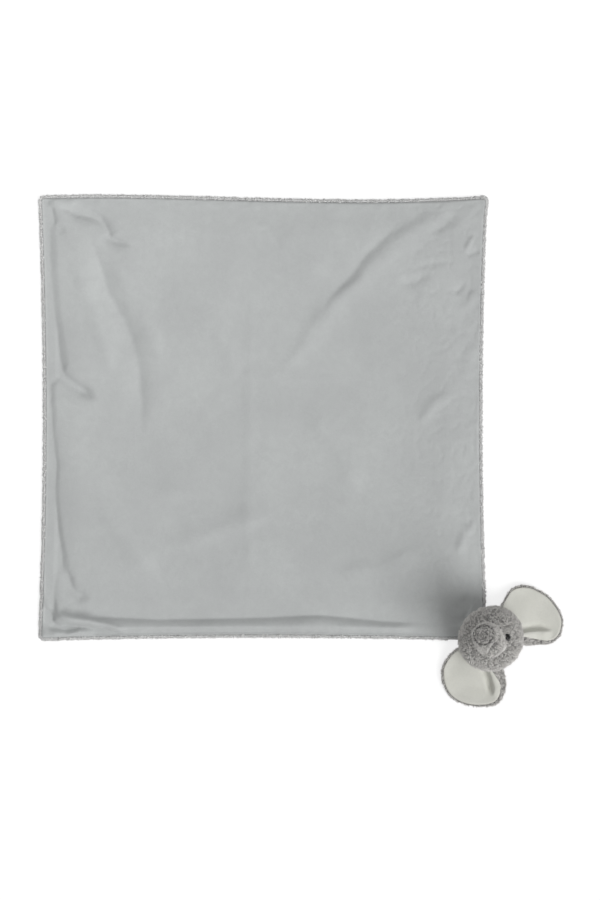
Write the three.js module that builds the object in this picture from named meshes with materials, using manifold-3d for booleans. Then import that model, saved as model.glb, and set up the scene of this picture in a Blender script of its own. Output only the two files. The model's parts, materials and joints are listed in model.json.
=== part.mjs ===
// Comforter blanket with a stuffed elephant head sewn to one corner.
// Millimetres, +Z up. The origin is the middle of the blanket's underside, on the surface it lies on.
// The head sits on the blanket's +X, -Y corner and looks straight up, its crown away from the blanket.
import * as THREE from "three";
import { mergeVertices } from "three/addons/utils/BufferGeometryUtils.js";
import Module from "manifold-3d";

const wasm = await Module();
wasm.setup();

// Room left between pieces that touch, and round the soft joints that turn
const seat = 0.3;
const turning = 0.4;

// Blanket: two layers, sewn right sides together and turned out
const blanketWidth = 700;
const blanketHeight = 694;
const cornerRound = 9;
const bowTop = 4;
const bowRight = 8;
const bowBottom = 5;
const bowLeft = 2;
const backThickness = 4.5;
const rimWidth = 5;
const rimHeight = 7.4;
const rimRound = 2.4;
const underRound = 1.4;
const frontThickness = 2.4;
const frontPuff = 2;
const puffReach = 16;
const allowanceWidth = 8;
const allowanceThickness = 1.1;

// Folds that lie in the blanket's front: crest route, height and width of each
const mainFolds = [
  { route: [[246, 303], [204, 266], [137, 204], [70, 115], [10, 65]], height: 6, width: 17 },
  { route: [[-263, 262], [-233, 180], [-200, 115], [-188, 0]], height: 5.5, width: 16 },
  { route: [[12, 304], [51, 261], [119, 213]], height: 2.5, width: 13 },
  { route: [[-138, -196], [7, -150]], height: 2.5, width: 15 },
  { route: [[-326, 320], [-318, 150], [-316, 0], [-312, -150], [-296, -268]], height: -2, width: 11 },
  { route: [[-286, -313], [0, -312], [222, -314]], height: -2, width: 11 },
];

// Head: a stuffed ball of four plush panels, slightly wider than it is long
const headLong = 46.5;
const headWide = 49.5;
const headTall = 44.5;
const headFlat = 0.5;
const headOffset = [1, 8];
const headTurn = -Math.PI / 4;
const plushThickness = 3;
const gussetWidth = 26;

// Fold line where the blanket's corner bends under the chin, and the gathered corner sewn into the head
const foldInside = 1.5;
const foldLip = 0.7;
const foldGap = 0.8;
const notchOpen = 20;
const cornerEnd = -35;
const cornerEase = 3;
const gatherRadius = 7.5;
const gatherChamfer = 2.5;
const gatherHeight = 8;
const gatherStart = -37;
const gatherEnd = -16;

// Eyes: plastic domes on a stem, each held by a washer inside
const eyeAlong = 9;
const eyeAcross = 20.5;
const eyeRadius = 4.3;
const eyeDome = 3;
const eyeBrim = 0.4;
const stemRadius = 1.8;
const stemLength = 6;
const washerRadius = 4.6;
const washerThickness = 1.2;
const washerDepth = 0.9;

// Ears: a plush back and a velour front, bent down from the head to the surface
const earHeight = 24;
const earTurn = (14 * Math.PI) / 180;
const earRootReach = 3.6;
const earRootOut = 4;
const earRootBack = 35;
const earRootFront = 48.5;
const earChinBulge = 41;
const earCrownBulge = 66;
const earReach = 70.5;
const earBackThickness = 4.5;
const earFrontThickness = 2;
const earFrontInset = 3;
const earCurl = 1.6;

// Trunk: a swollen tube on a ball of stuffing, leaning to the chin
const trunkAlong = 3;
const trunkSink = 2.4;
const trunkLean = (29 * Math.PI) / 180;
const trunkSide = (3.5 * Math.PI) / 180;
const trunkBall = 14.8;
const trunkInnerBall = 10;
const trunkBendHeight = 30;
const trunkSwell = 21.4;
const trunkSkirt = 0.9;
const trunkSkirtRise = 1;
const trunkTaper = 1.7;
const trunkEndHeight = 61;
const trunkEndRadius = 16.4;
const trunkEndBrim = 0.4;
const trunkCover = 3;
const trunkCoverStart = 1.5;
const bowlRim = -14;
const cupMeet = 36;
const discRadius = 14.2;
const discDome = 3;
const discSeat = 1;
const discBrim = 0.6;
const swingRange = (17 * Math.PI) / 180;

// Facets round the head, round turned pieces, and round small or hidden ones
const headFacets = 32;
const roundFacets = 24;
const smallFacets = 16;

// Facets of the folds in the blanket, and how much their grid crowds to the puffed border
const frontGrid = 46;
const crowding = 0.22;
const sideSteps = 8;

const frontBottom = backThickness + seat;
const frontTop = frontBottom + frontThickness;
const foldHeight = frontTop / 2;
const beyond = 2 * blanketWidth;
const headHeight = headTall - headFlat;
const foldLine = foldInside - headLong;
const [headOffsetX, headOffsetY] = headOffset;
const headPlace = new THREE.Vector3(blanketWidth / 2 + headOffsetX, -blanketHeight / 2 + headOffsetY, 0);

function cloth(colour, roughness) {
  return new THREE.MeshStandardMaterial({ color: colour, roughness, metalness: 0 });
}

const velour = cloth(0xb4b6b5, 0.95);
const sherpa = cloth(0xc2c3c2, 1);
const plush = cloth(0x9a9996, 1);
const earVelour = cloth(0xd3d3cd, 0.95);
const stuffing = cloth(0xe8e8e4, 1);
const blackPlastic = new THREE.MeshStandardMaterial({ color: 0x080808, roughness: 0.12, metalness: 0 });
const clearPlastic = new THREE.MeshStandardMaterial({ color: 0xdcdcd6, roughness: 0.4, metalness: 0 });

// A closed geometry as a solid that can be cut and joined
function toSolid(geometry) {
  const bare = geometry.index ? geometry.toNonIndexed() : geometry.clone();
  bare.deleteAttribute("normal");
  bare.deleteAttribute("uv");
  const merged = mergeVertices(bare, 1e-4);
  const vertProperties = merged.attributes.position.array;
  const triVerts = new Uint32Array(merged.index.array);
  return new wasm.Manifold(new wasm.Mesh({ numProp: 3, vertProperties, triVerts }));
}

// A solid as a named mesh
function piece(name, material, solid) {
  const { vertProperties, triVerts } = solid.simplify(0.01).getMesh();
  const geometry = new THREE.BufferGeometry();
  const positions = Float32Array.from(vertProperties);
  geometry.setAttribute("position", new THREE.BufferAttribute(positions, 3));
  geometry.setIndex(new THREE.BufferAttribute(Uint32Array.from(triVerts), 1));
  const faceted = geometry.toNonIndexed();
  faceted.computeVertexNormals();
  const mesh = new THREE.Mesh(faceted, material);
  mesh.name = name;
  return mesh;
}

function prism(outline, bottom, top) {
  const shape = new THREE.Shape(outline);
  const geometry = new THREE.ExtrudeGeometry(shape, { depth: top - bottom, bevelEnabled: false });
  return toSolid(geometry.translate(0, 0, bottom));
}

function block(x0, x1, y0, y1, z0, z1) {
  const geometry = new THREE.BoxGeometry(x1 - x0, y1 - y0, z1 - z0);
  return toSolid(geometry.translate((x0 + x1) / 2, (y0 + y1) / 2, (z0 + z1) / 2));
}

function ball(radiusX, radiusY, radiusZ, centre, around = roundFacets) {
  const up = Math.round(around * 0.62);
  const geometry = new THREE.SphereGeometry(1, around, up).rotateX(Math.PI / 2);
  geometry.scale(radiusX, radiusY, radiusZ);
  return toSolid(geometry.translate(centre.x, centre.y, centre.z));
}

// A profile of [radius, height] pairs, counter-clockwise, turned about the Z axis
function lathe(profile, around) {
  const points = profile.map(([radius, height]) => new THREE.Vector2(radius, height));
  return new THREE.LatheGeometry(points, around).rotateX(Math.PI / 2);
}

function turned(profile, around = roundFacets) {
  return toSolid(lathe(profile, around));
}

// The same profile about the line from a point in a direction
function turnedAlong(profile, point, direction, around = roundFacets) {
  const geometry = lathe(profile, around);
  const turn = new THREE.Quaternion().setFromUnitVectors(new THREE.Vector3(0, 0, 1), direction);
  geometry.applyQuaternion(turn);
  return toSolid(geometry.translate(point.x, point.y, point.z));
}

// Points of an arc about [0, height], angles in degrees from the radius direction
function arc(radius, height, from, to, steps) {
  const points = [];
  for (let step = 0; step <= steps; step += 1) {
    const angle = THREE.MathUtils.degToRad(from + ((to - from) * step) / steps);
    points.push([Math.max(radius * Math.cos(angle), 0), height + radius * Math.sin(angle)]);
  }
  return points;
}

// A closed skin over a grid of points for each face: columns run along, rows run across
function slab(columns, rows, lower, upper, flip) {
  const positions = [];
  const corner = (face, i, j) => positions.push(...face(i / columns, j / rows));
  const quad = (a, b, c, d) => {
    const order = flip ? [a, c, b, a, d, c] : [a, b, c, a, c, d];
    order.forEach(([face, i, j]) => corner(face, i, j));
  };
  for (let i = 0; i < columns; i += 1) {
    for (let j = 0; j < rows; j += 1) {
      quad([upper, i, j], [upper, i + 1, j], [upper, i + 1, j + 1], [upper, i, j + 1]);
      quad([lower, i, j], [lower, i, j + 1], [lower, i + 1, j + 1], [lower, i + 1, j]);
    }
    quad([lower, i, 0], [lower, i + 1, 0], [upper, i + 1, 0], [upper, i, 0]);
    quad([lower, i + 1, rows], [lower, i, rows], [upper, i, rows], [upper, i + 1, rows]);
  }
  for (let j = 0; j < rows; j += 1) {
    quad([lower, 0, j + 1], [lower, 0, j], [upper, 0, j], [upper, 0, j + 1]);
    quad([lower, columns, j], [lower, columns, j + 1], [upper, columns, j + 1], [upper, columns, j]);
  }
  const geometry = new THREE.BufferGeometry();
  geometry.setAttribute("position", new THREE.Float32BufferAttribute(positions, 3));
  return toSolid(geometry);
}

// The blanket's outline: four sides bowed inwards, round corners, drawn in by an inset
function blanketOutline(inset) {
  const halfWidth = blanketWidth / 2 - inset;
  const halfHeight = blanketHeight / 2 - inset;
  const round = Math.max(cornerRound - inset, 1);
  const sides = [
    { from: [-halfWidth, -halfHeight], along: [1, 0], length: 2 * halfWidth, bow: bowBottom },
    { from: [halfWidth, -halfHeight], along: [0, 1], length: 2 * halfHeight, bow: bowRight },
    { from: [halfWidth, halfHeight], along: [-1, 0], length: 2 * halfWidth, bow: bowTop },
    { from: [-halfWidth, halfHeight], along: [0, -1], length: 2 * halfHeight, bow: bowLeft },
  ];
  const arcDepth = round * (1 - Math.SQRT1_2);
  const points = [];
  sides.forEach(({ from, along, length, bow }) => {
    const arcX = from[0] + arcDepth * (along[0] - along[1]);
    const arcY = from[1] + arcDepth * (along[1] + along[0]);
    points.push(new THREE.Vector2(arcX, arcY));
    for (let step = 0; step <= sideSteps; step += 1) {
      const run = round + ((length - 2 * round) * step) / sideSteps;
      const share = (2 * run) / length - 1;
      const inward = bow * (1 - share * share);
      const x = from[0] + along[0] * run - along[1] * inward;
      const y = from[1] + along[1] * run + along[0] * inward;
      points.push(new THREE.Vector2(x, y));
    }
  });
  return points;
}

function distanceToRoute(x, y, route) {
  let nearest = Infinity;
  for (let i = 1; i < route.length; i += 1) {
    const [ax, ay] = route[i - 1];
    const [bx, by] = route[i];
    const share = ((x - ax) * (bx - ax) + (y - ay) * (by - ay)) / ((bx - ax) ** 2 + (by - ay) ** 2);
    const held = THREE.MathUtils.clamp(share, 0, 1);
    nearest = Math.min(nearest, Math.hypot(x - ax - held * (bx - ax), y - ay - held * (by - ay)));
  }
  return nearest;
}

// Height of the blanket's front face: a puffed border and the main folds
function frontHeight(x, y) {
  const toEdge = Math.min(blanketWidth / 2 - Math.abs(x), blanketHeight / 2 - Math.abs(y));
  const inside = THREE.MathUtils.smoothstep(toEdge, rimWidth, puffReach);
  let height = frontTop + frontPuff * inside;
  mainFolds.forEach((fold) => {
    const away = distanceToRoute(x, y, fold.route) / fold.width;
    height += fold.height * Math.exp(-away * away) * inside;
  });
  return height;
}

// Grid lines that crowd towards the blanket's edges, where the border is puffed
function edgeCrowded(share, half) {
  const run = 2 * share - 1;
  return half * ((1 + crowding) * run - crowding * run ** 3);
}

function frontSlab() {
  const halfWidth = blanketWidth / 2;
  const halfHeight = blanketHeight / 2;
  const place = (i, j) => [edgeCrowded(i, halfWidth), edgeCrowded(j, halfHeight)];
  const lower = (i, j) => [...place(i, j), frontBottom];
  const upper = (i, j) => {
    const [x, y] = place(i, j);
    return [x, y, frontHeight(x, y)];
  };
  const outline = prism(blanketOutline(rimWidth + seat), 0, beyond);
  return slab(frontGrid, frontGrid, lower, upper, false).intersect(outline);
}

// The sherpa layer: flat underside, its pile standing up as a rounded rim outside the seam
function backPan() {
  const profile = [[underRound, 0], [0, underRound]];
  for (let angle = 180; angle >= 0; angle -= 45) {
    const turn = THREE.MathUtils.degToRad(angle);
    profile.push([(rimWidth / 2) * (1 + Math.cos(turn)), rimHeight + rimRound * (Math.sin(turn) - 1)]);
  }
  profile.push([rimWidth, backThickness]);
  const rings = profile.map(([inset, height]) => blanketOutline(inset).map(({ x, y }) => [x, y, height]));
  const count = rings[0].length;
  const positions = [];
  for (let ring = 1; ring < rings.length; ring += 1) {
    for (let i = 0; i < count; i += 1) {
      const next = (i + 1) % count;
      const [a, b] = [rings[ring - 1][i], rings[ring - 1][next]];
      const [c, d] = [rings[ring][next], rings[ring][i]];
      [a, b, c, a, c, d].forEach((point) => positions.push(...point));
    }
  }
  const cap = (ring, order) => {
    const flat = ring.map(([x, y]) => new THREE.Vector2(x, y));
    THREE.ShapeUtils.triangulateShape(flat, []).forEach((face) => {
      order.forEach((k) => positions.push(...ring[face[k]]));
    });
  };
  cap(rings[0], [0, 2, 1]);
  cap(rings[rings.length - 1], [0, 1, 2]);
  const geometry = new THREE.BufferGeometry();
  geometry.setAttribute("position", new THREE.Float32BufferAttribute(positions, 3));
  return toSolid(geometry);
}

function band(outer, inner, bottom, top) {
  const hole = prism(blanketOutline(inner), bottom - seat, top + seat);
  return prism(blanketOutline(outer), bottom, top).subtract(hole);
}

// A solid made in the head's frame, moved to its place on the blanket
function onCorner(solid) {
  const turn = new THREE.Matrix4().makeRotationZ(headTurn);
  const place = new THREE.Matrix4().makeTranslation(headPlace).multiply(turn);
  return solid.transform(place.toArray());
}

// A notch for a soft joint: lips that almost meet along Y, opened above and below at 45 degrees
function foldNotch(reach, turn, x, z) {
  const half = foldGap / 2;
  const lip = foldLip / 2;
  const outline = [
    [-half - notchOpen, lip + notchOpen],
    [-half, lip],
    [-half, -lip],
    [-half - notchOpen, -lip - notchOpen],
    [half + notchOpen, -lip - notchOpen],
    [half, -lip],
    [half, lip],
    [half + notchOpen, lip + notchOpen],
  ];
  const shape = new THREE.Shape(outline.map(([across, up]) => new THREE.Vector2(across, up)));
  const geometry = new THREE.ExtrudeGeometry(shape, { depth: 2 * reach, bevelEnabled: false });
  geometry.translate(0, 0, -reach).rotateX(Math.PI / 2).rotateZ(turn);
  return toSolid(geometry.translate(x, 0, z));
}

function blanketPieces() {
  const front = frontSlab();
  const back = backPan();
  const allowanceOuter = rimWidth + 2 * seat;
  const allowanceInner = allowanceOuter + allowanceWidth;
  const allowanceTop = frontBottom + allowanceThickness;
  const allowance = band(allowanceOuter, allowanceInner, frontBottom, allowanceTop);
  const recess = band(rimWidth, allowanceInner + seat, 0, allowanceTop + seat);
  const notch = onCorner(foldNotch(2 * headWide, 0, foldLine, foldHeight));
  const beyondFold = onCorner(block(foldLine, beyond, -beyond, beyond, -beyond, beyond));
  const cornerRegion = onCorner(cornerShape());
  const gatherRoom = onCorner(gather(seat));
  const cornerPart = (solid) => solid.intersect(cornerRegion).subtract(notch).subtract(gatherRoom);
  const blanket = [
    piece("blanket_front", velour, front.subtract(recess).subtract(beyondFold).subtract(notch)),
    piece("blanket_back", sherpa, back.subtract(beyondFold).subtract(notch)),
    piece("seam_allowance", velour, allowance.subtract(beyondFold).subtract(notch)),
  ];
  const corner = [
    piece("corner_front", velour, cornerPart(front)),
    piece("corner_back", sherpa, cornerPart(back)),
  ];
  return [...blanket, ...corner];
}

// Plan of the corner beyond the fold line, its end bowed out to the gather
function cornerShape() {
  const side = cornerEnd - cornerEase;
  const wide = 2 * headWide;
  const shape = new THREE.Shape();
  shape.moveTo(foldLine, -wide);
  shape.lineTo(side, -wide);
  shape.lineTo(side, -headWide);
  shape.quadraticCurveTo(cornerEnd + cornerEase, 0, side, headWide);
  shape.lineTo(side, wide);
  shape.lineTo(foldLine, wide);
  return prism(shape.getPoints(sideSteps), -seat, beyond);
}

// The corner's gathered end, tucked into the head: round about the line on which the head twists
function gather(room) {
  const radius = gatherRadius + room;
  const straight = gatherEnd - gatherStart - gatherRadius;
  const profile = [
    [0, -room],
    [radius - gatherChamfer, -room],
    [radius, gatherChamfer - room],
    ...arc(radius, straight, 0, 90, 6),
  ];
  const start = new THREE.Vector3(gatherStart, 0, gatherHeight);
  return turnedAlong(profile, start, new THREE.Vector3(1, 0, 0), smallFacets);
}

const headCentre = new THREE.Vector3(0, 0, headHeight);
const floorCut = block(-beyond, beyond, -beyond, beyond, -beyond, 0);

function headBall(inset, around = headFacets) {
  return ball(headLong - inset, headWide - inset, headTall - inset, headCentre, around);
}

function headSurfaceHeight(along, across) {
  const share = (along / headLong) ** 2 + (across / headWide) ** 2;
  return headHeight + headTall * Math.sqrt(1 - share);
}

const trunkRoot = new THREE.Vector3(trunkAlong, 0, headSurfaceHeight(trunkAlong, 0) - trunkSink);

function eyeFrame(side) {
  const across = side * eyeAcross;
  const point = new THREE.Vector3(eyeAlong, across, headSurfaceHeight(eyeAlong, across));
  const rise = point.z - headHeight;
  const normal = new THREE.Vector3(point.x / headLong ** 2, point.y / headWide ** 2, rise / headTall ** 2);
  return { point, normal: normal.normalize() };
}

function eyeSolid(side) {
  const { point, normal } = eyeFrame(side);
  const dome = arc(eyeRadius, 0, 0, 90, 6).map(([radius, rise]) => {
    const share = rise / eyeRadius;
    return [radius, seat + eyeBrim + (eyeDome - eyeBrim) * share];
  });
  const stem = [[0, -stemLength], [stemRadius, -stemLength], [stemRadius, seat], [eyeRadius, seat]];
  return turnedAlong([...stem, ...dome], point, normal);
}

function washerSolid(side) {
  const { point, normal } = eyeFrame(side);
  const top = -plushThickness - washerDepth;
  const bottom = top - washerThickness;
  const inner = stemRadius + seat;
  const outer = washerRadius;
  const profile = [[inner, bottom], [outer, bottom], [outer, top], [inner, top], [inner, bottom]];
  return turnedAlong(profile, point, normal, smallFacets);
}

function washerPocket(side) {
  const { point, normal } = eyeFrame(side);
  const radius = washerRadius + seat;
  const bottom = -plushThickness - washerDepth - washerThickness - seat;
  return turnedAlong([[0, bottom], [radius, bottom], [radius, 0], [0, 0]], point, normal, smallFacets);
}

function stemHole(side) {
  const { point, normal } = eyeFrame(side);
  const radius = stemRadius + seat;
  const bottom = -stemLength - seat;
  const top = eyeDome;
  return turnedAlong([[0, bottom], [radius, bottom], [radius, top], [0, top]], point, normal, smallFacets);
}

// What the head's panels and stuffing leave free: the trunk's ball, the gather and the eye stems
function headHollows() {
  const cup = trunkBall + turning;
  return ball(cup, cup, cup, trunkRoot)
    .add(gather(turning))
    .add(stemHole(1))
    .add(stemHole(-1));
}

function headPieces() {
  const hollows = headHollows();
  const skin = headBall(0).subtract(headBall(plushThickness)).subtract(floorCut).subtract(hollows);
  const half = gussetWidth / 2;
  const middle = trunkAlong;
  const slit = seat / 2;
  const pocket = washerPocket(1).add(washerPocket(-1));
  const fill = headBall(plushThickness + 2 * seat, roundFacets).subtract(hollows).subtract(pocket);
  const region = (x0, x1, y0, y1) => skin.intersect(block(x0, x1, y0, y1, -beyond, beyond));
  return [
    piece("head_side_right", plush, region(-beyond, beyond, half + slit, beyond)),
    piece("head_side_left", plush, region(-beyond, beyond, -beyond, -half - slit)),
    piece("forehead_gusset", plush, region(middle + slit, beyond, slit - half, half - slit)),
    piece("throat_gusset", plush, region(-beyond, middle - slit, slit - half, half - slit)),
    piece("head_stuffing", stuffing, fill),
    piece("eye_right", blackPlastic, eyeSolid(1)),
    piece("eye_left", blackPlastic, eyeSolid(-1)),
    piece("eye_washer_right", clearPlastic, washerSolid(1)),
    piece("eye_washer_left", clearPlastic, washerSolid(-1)),
    piece("neck_gather", velour, gather(0)),
  ];
}

// Distance of the ear's fold line from the head's middle, just outside the head at the ear's height
const headShare = Math.sqrt(1 - ((earHeight - headHeight) / headTall) ** 2);
const earSupport = headShare * Math.hypot(headLong * Math.sin(earTurn), headWide * Math.cos(earTurn));
const earLine = earSupport + earRootReach;
const earThickness = earBackThickness + seat + earFrontThickness;

// Ear outline in its own frame: X along the fold line to the crown, Y out from the head
function earRim(inset) {
  const back = earChinBulge - inset;
  const front = earCrownBulge - inset;
  const reach = earReach - inset;
  const points = [
    [-earRootBack + inset, earRootOut],
    [-back, earReach * 0.28],
    [-back * 0.82, earReach * 0.65],
    [-back * 0.17, reach * 0.92],
    [front * 0.37, reach],
    [front * 0.88, reach * 0.75],
    [front, earReach * 0.45],
    [front * 0.9, earReach * 0.18],
    [earRootFront - inset, earRootOut],
  ].map(([x, y]) => new THREE.Vector3(x, y, 0));
  return new THREE.CatmullRomCurve3(points, false, "centripetal");
}

// The ear's bend: level with its fold line at the head, down to the surface at the rim
function earDrop(out) {
  const share = THREE.MathUtils.clamp(out / earReach, 0, 1);
  const fall = earHeight - earThickness / 2 - seat;
  return -earThickness / 2 - fall * (1 - (1 - share) ** earCurl);
}

function earLayer(side, inset, below, above) {
  const rim = earRim(inset);
  const place = (i, j) => {
    const edge = rim.getPoint(i);
    const root = (earRootFront + earRootBack - 2 * inset) * i - earRootBack + inset;
    return [root + (edge.x - root) * j, edge.y * j];
  };
  const face = (lift) => (i, j) => {
    const [x, y] = place(i, j);
    return [x, side * y, earDrop(y) + lift];
  };
  return slab(24, 6, face(below), face(above), side < 0);
}

function earNotch() {
  return foldNotch(earCrownBulge + earChinBulge, Math.PI / 2, 0, 0);
}

function earFrame(side) {
  const turn = new THREE.Matrix4().makeRotationZ(-side * earTurn);
  const along = earLine * Math.sin(earTurn);
  const across = side * earLine * Math.cos(earTurn);
  return new THREE.Matrix4().makeTranslation(along, across, earHeight).multiply(turn);
}

function earPieces(side, word) {
  const notch = earNotch();
  const back = earLayer(side, 0, 0, earBackThickness).subtract(notch);
  const front = earLayer(side, earFrontInset, earBackThickness + seat, earThickness).subtract(notch);
  const group = new THREE.Group();
  group.applyMatrix4(earFrame(side));
  group.add(piece("ear_back_" + word, plush, back));
  group.add(piece("ear_front_" + word, earVelour, front));
  return group;
}

// The ear's sewn root: a crescent between the round head and the ear's straight fold line
function earRootPiece(side, word) {
  const half = earThickness / 2;
  const deep = headWide / 2;
  const outline = [
    [-earRootBack, 0],
    [-earRootBack + 6, -10],
    [-earRootBack + 14, -deep],
    [earRootFront - 30, -deep],
    [earRootFront - 22, -16],
    [earRootFront - 6, -5.5],
    [earRootFront, 0],
  ];
  const flat = outline.map(([x, y]) => new THREE.Vector2(x, side * y));
  const flap = prism(flat, -half, half).subtract(earNotch());
  const placed = flap.transform(earFrame(side).toArray());
  return piece("ear_root_" + word, plush, placed.subtract(headBall(-seat)));
}

// Outer radius of the trunk at a height above its root
function trunkProfile(height) {
  if (height < trunkBendHeight) {
    const share = THREE.MathUtils.clamp(height / trunkBendHeight, 0, 1);
    return trunkBall + (trunkSwell - trunkBall) * Math.sin((share * Math.PI) / 2);
  }
  const end = trunkEndHeight - 2 * discSeat;
  const share = (height - trunkBendHeight) / (end - trunkBendHeight);
  const widest = trunkSwell + trunkSkirt;
  return widest - (widest - trunkEndRadius) * share ** trunkTaper;
}

const trunkInside = (height) => trunkProfile(height) - trunkCover;

// Profile points climbed from one height to another
function climb(from, to, steps, radius) {
  const points = [];
  for (let step = 0; step <= steps; step += 1) {
    const height = from + ((to - from) * step) / steps;
    points.push([radius(height), height]);
  }
  return points;
}

const trunkDirection = new THREE.Vector3(
  -Math.sin(trunkLean) * Math.cos(trunkSide),
  -Math.sin(trunkSide),
  Math.cos(trunkLean) * Math.cos(trunkSide),
).normalize();

function trunkGroup() {
  const group = new THREE.Group();
  group.position.copy(trunkRoot);
  group.quaternion.setFromUnitVectors(new THREE.Vector3(0, 0, 1), trunkDirection);
  return group;
}

// The head's top as the trunk meets it, raised all round by the trunk's swing, in the trunk's frame
function headSweep() {
  const edge = [];
  for (let step = sideSteps; step >= 1; step -= 1) {
    const out = (headWide * step) / (sideSteps + 1);
    const rise = headTall * (Math.sqrt(1 - (out / headWide) ** 2) - 1) + trunkSink + turning;
    const radius = out * Math.cos(swingRange) - rise * Math.sin(swingRange);
    edge.push([radius, out * Math.sin(swingRange) + rise * Math.cos(swingRange)]);
  }
  const profile = [[0, -headTall], [edge[0][0], -headTall], ...edge, [0, trunkSink + turning]];
  const inverse = trunkGroup();
  inverse.updateMatrix();
  const swept = turnedAlong(profile, trunkRoot, new THREE.Vector3(0, 0, 1));
  const ballRoom = ball(trunkBall, trunkBall, trunkBall, new THREE.Vector3());
  return swept.transform(inverse.matrix.clone().invert().toArray()).subtract(ballRoom);
}

// The bowl of filling that the trunk turns on, under its ball
function trunkBowl() {
  return turned([
    ...arc(trunkBall, 0, -90, bowlRim, 6),
    ...arc(trunkInnerBall + turning, 0, bowlRim, -90, 5),
  ]);
}

function trunkBaseCover() {
  const bend = trunkBendHeight;
  const withinBend = (height) => Math.sqrt(trunkSwell ** 2 - (height - bend) ** 2);
  const nearBend = (height) => Math.min(trunkProfile(height), withinBend(height));
  const radius = (height) => (height > bend / 2 ? nearBend(height) : trunkProfile(height));
  const outer = climb(trunkCoverStart, bend, 7, radius);
  return turned([...outer, ...climb(bend, trunkCoverStart, 4, trunkInside), outer[0]]);
}

function trunkBaseStuffing() {
  const bend = trunkBendHeight;
  return turned([
    ...arc(trunkInnerBall, 0, -90, 0, 5),
    ...climb(trunkCoverStart, bend, 4, (height) => trunkInside(height) - seat),
    ...arc(trunkSwell, bend, 1, 90, 7),
  ]);
}

function trunkEndCover() {
  const end = trunkEndHeight;
  const cup = trunkSwell + turning;
  const inside = discRadius + seat;
  const outer = climb(trunkBendHeight + trunkSkirtRise, end - 2 * discSeat, 7, trunkProfile);
  const meet = trunkBendHeight + cup * Math.sin(THREE.MathUtils.degToRad(cupMeet));
  return turned([
    ...outer,
    [inside + discSeat, end + trunkEndBrim],
    [inside, end + trunkEndBrim],
    [inside, end - discSeat],
    ...climb(end - 3 * discSeat, meet + seat, 4, trunkInside),
    ...arc(cup, trunkBendHeight, cupMeet, 3, 5),
    outer[0],
  ]);
}

function trunkEndStuffing() {
  const top = trunkEndHeight - discSeat - seat;
  const cup = trunkSwell + turning;
  return turned([
    ...arc(cup, trunkBendHeight, 90, cupMeet + 3, 6),
    ...climb(trunkBendHeight + cup * 0.7, top - 2 * discSeat, 3, (height) => trunkInside(height) - seat),
    [discRadius - discSeat, top],
    [0, top],
  ]);
}

function trunkDisc() {
  const end = trunkEndHeight;
  return turned([
    [0, end - discSeat],
    [discRadius, end - discSeat],
    [discRadius, end + discBrim],
    [discRadius * 0.8, end + discDome * 0.7],
    [discRadius * 0.4, end + discDome],
    [0, end + discDome],
  ]);
}

function trunk() {
  const sweep = headSweep();
  const group = trunkGroup();
  group.add(piece("trunk_root_stuffing", stuffing, trunkBowl()));
  group.add(piece("trunk_base_cover", plush, trunkBaseCover().subtract(sweep)));
  group.add(piece("trunk_base_stuffing", stuffing, trunkBaseStuffing().subtract(sweep)));
  group.add(piece("trunk_end_cover", plush, trunkEndCover()));
  group.add(piece("trunk_end_stuffing", stuffing, trunkEndStuffing()));
  group.add(piece("trunk_tip_disc", plush, trunkDisc()));
  return group;
}

function head() {
  const group = new THREE.Group();
  group.position.copy(headPlace);
  group.rotation.z = headTurn;
  headPieces().forEach((mesh) => group.add(mesh));
  [[1, "right"], [-1, "left"]].forEach(([side, word]) => {
    group.add(earRootPiece(side, word));
    group.add(earPieces(side, word));
  });
  group.add(trunk());
  return group;
}

const group = new THREE.Group();
blanketPieces().forEach((mesh) => group.add(mesh));
group.add(head());

export default group;
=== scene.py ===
# Comforter blanket with a plush elephant head on one corner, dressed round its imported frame.
# Metres, +Z up. The camera looks straight down, as in the photograph.
import json
import math

import bpy
import numpy as np
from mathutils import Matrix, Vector, noise


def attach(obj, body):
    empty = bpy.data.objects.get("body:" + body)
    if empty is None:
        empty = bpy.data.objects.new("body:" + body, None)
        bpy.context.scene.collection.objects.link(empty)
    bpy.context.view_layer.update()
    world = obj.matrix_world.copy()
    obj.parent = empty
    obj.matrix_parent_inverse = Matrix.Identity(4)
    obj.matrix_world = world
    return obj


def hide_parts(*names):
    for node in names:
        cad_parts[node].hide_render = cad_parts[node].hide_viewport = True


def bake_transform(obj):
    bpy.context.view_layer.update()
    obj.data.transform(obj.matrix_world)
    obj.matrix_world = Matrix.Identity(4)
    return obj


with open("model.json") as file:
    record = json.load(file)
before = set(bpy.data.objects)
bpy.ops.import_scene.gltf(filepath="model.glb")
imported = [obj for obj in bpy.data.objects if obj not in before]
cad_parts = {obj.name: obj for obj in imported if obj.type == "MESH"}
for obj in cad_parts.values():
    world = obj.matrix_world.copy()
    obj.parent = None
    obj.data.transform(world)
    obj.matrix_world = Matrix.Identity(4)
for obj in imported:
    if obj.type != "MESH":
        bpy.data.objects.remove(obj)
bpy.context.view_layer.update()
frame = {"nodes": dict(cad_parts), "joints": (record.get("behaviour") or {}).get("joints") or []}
scene = bpy.context.scene
mm = 0.001
up = np.array((0.0, 0.0, 1.0))

# Blanket: how far each side bows in, its corners, and the rim of sherpa outside the seam
bow_top = 4 * mm
bow_top_skew = 9 * mm
bow_right = 8 * mm
bow_bottom = 5 * mm
bow_left = 7.5 * mm
corner_flare = 2.5 * mm
corner_round = 9 * mm
rim_width = 5 * mm

# Blanket: heights of its layers above the floor, the room for the seam allowance between them,
# and how much closer the grid's lines lie at the sides
back_edge = 3.4 * mm
rim_low = 4.6 * mm
rim_rise = 2.6 * mm
back_top = 4.5 * mm
front_bottom = 4.8 * mm
front_edge = 9.6 * mm
front_level = 14.2 * mm
hem_room = 6.3 * mm
hem_width = 14 * mm
crowding = 0.24

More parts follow.
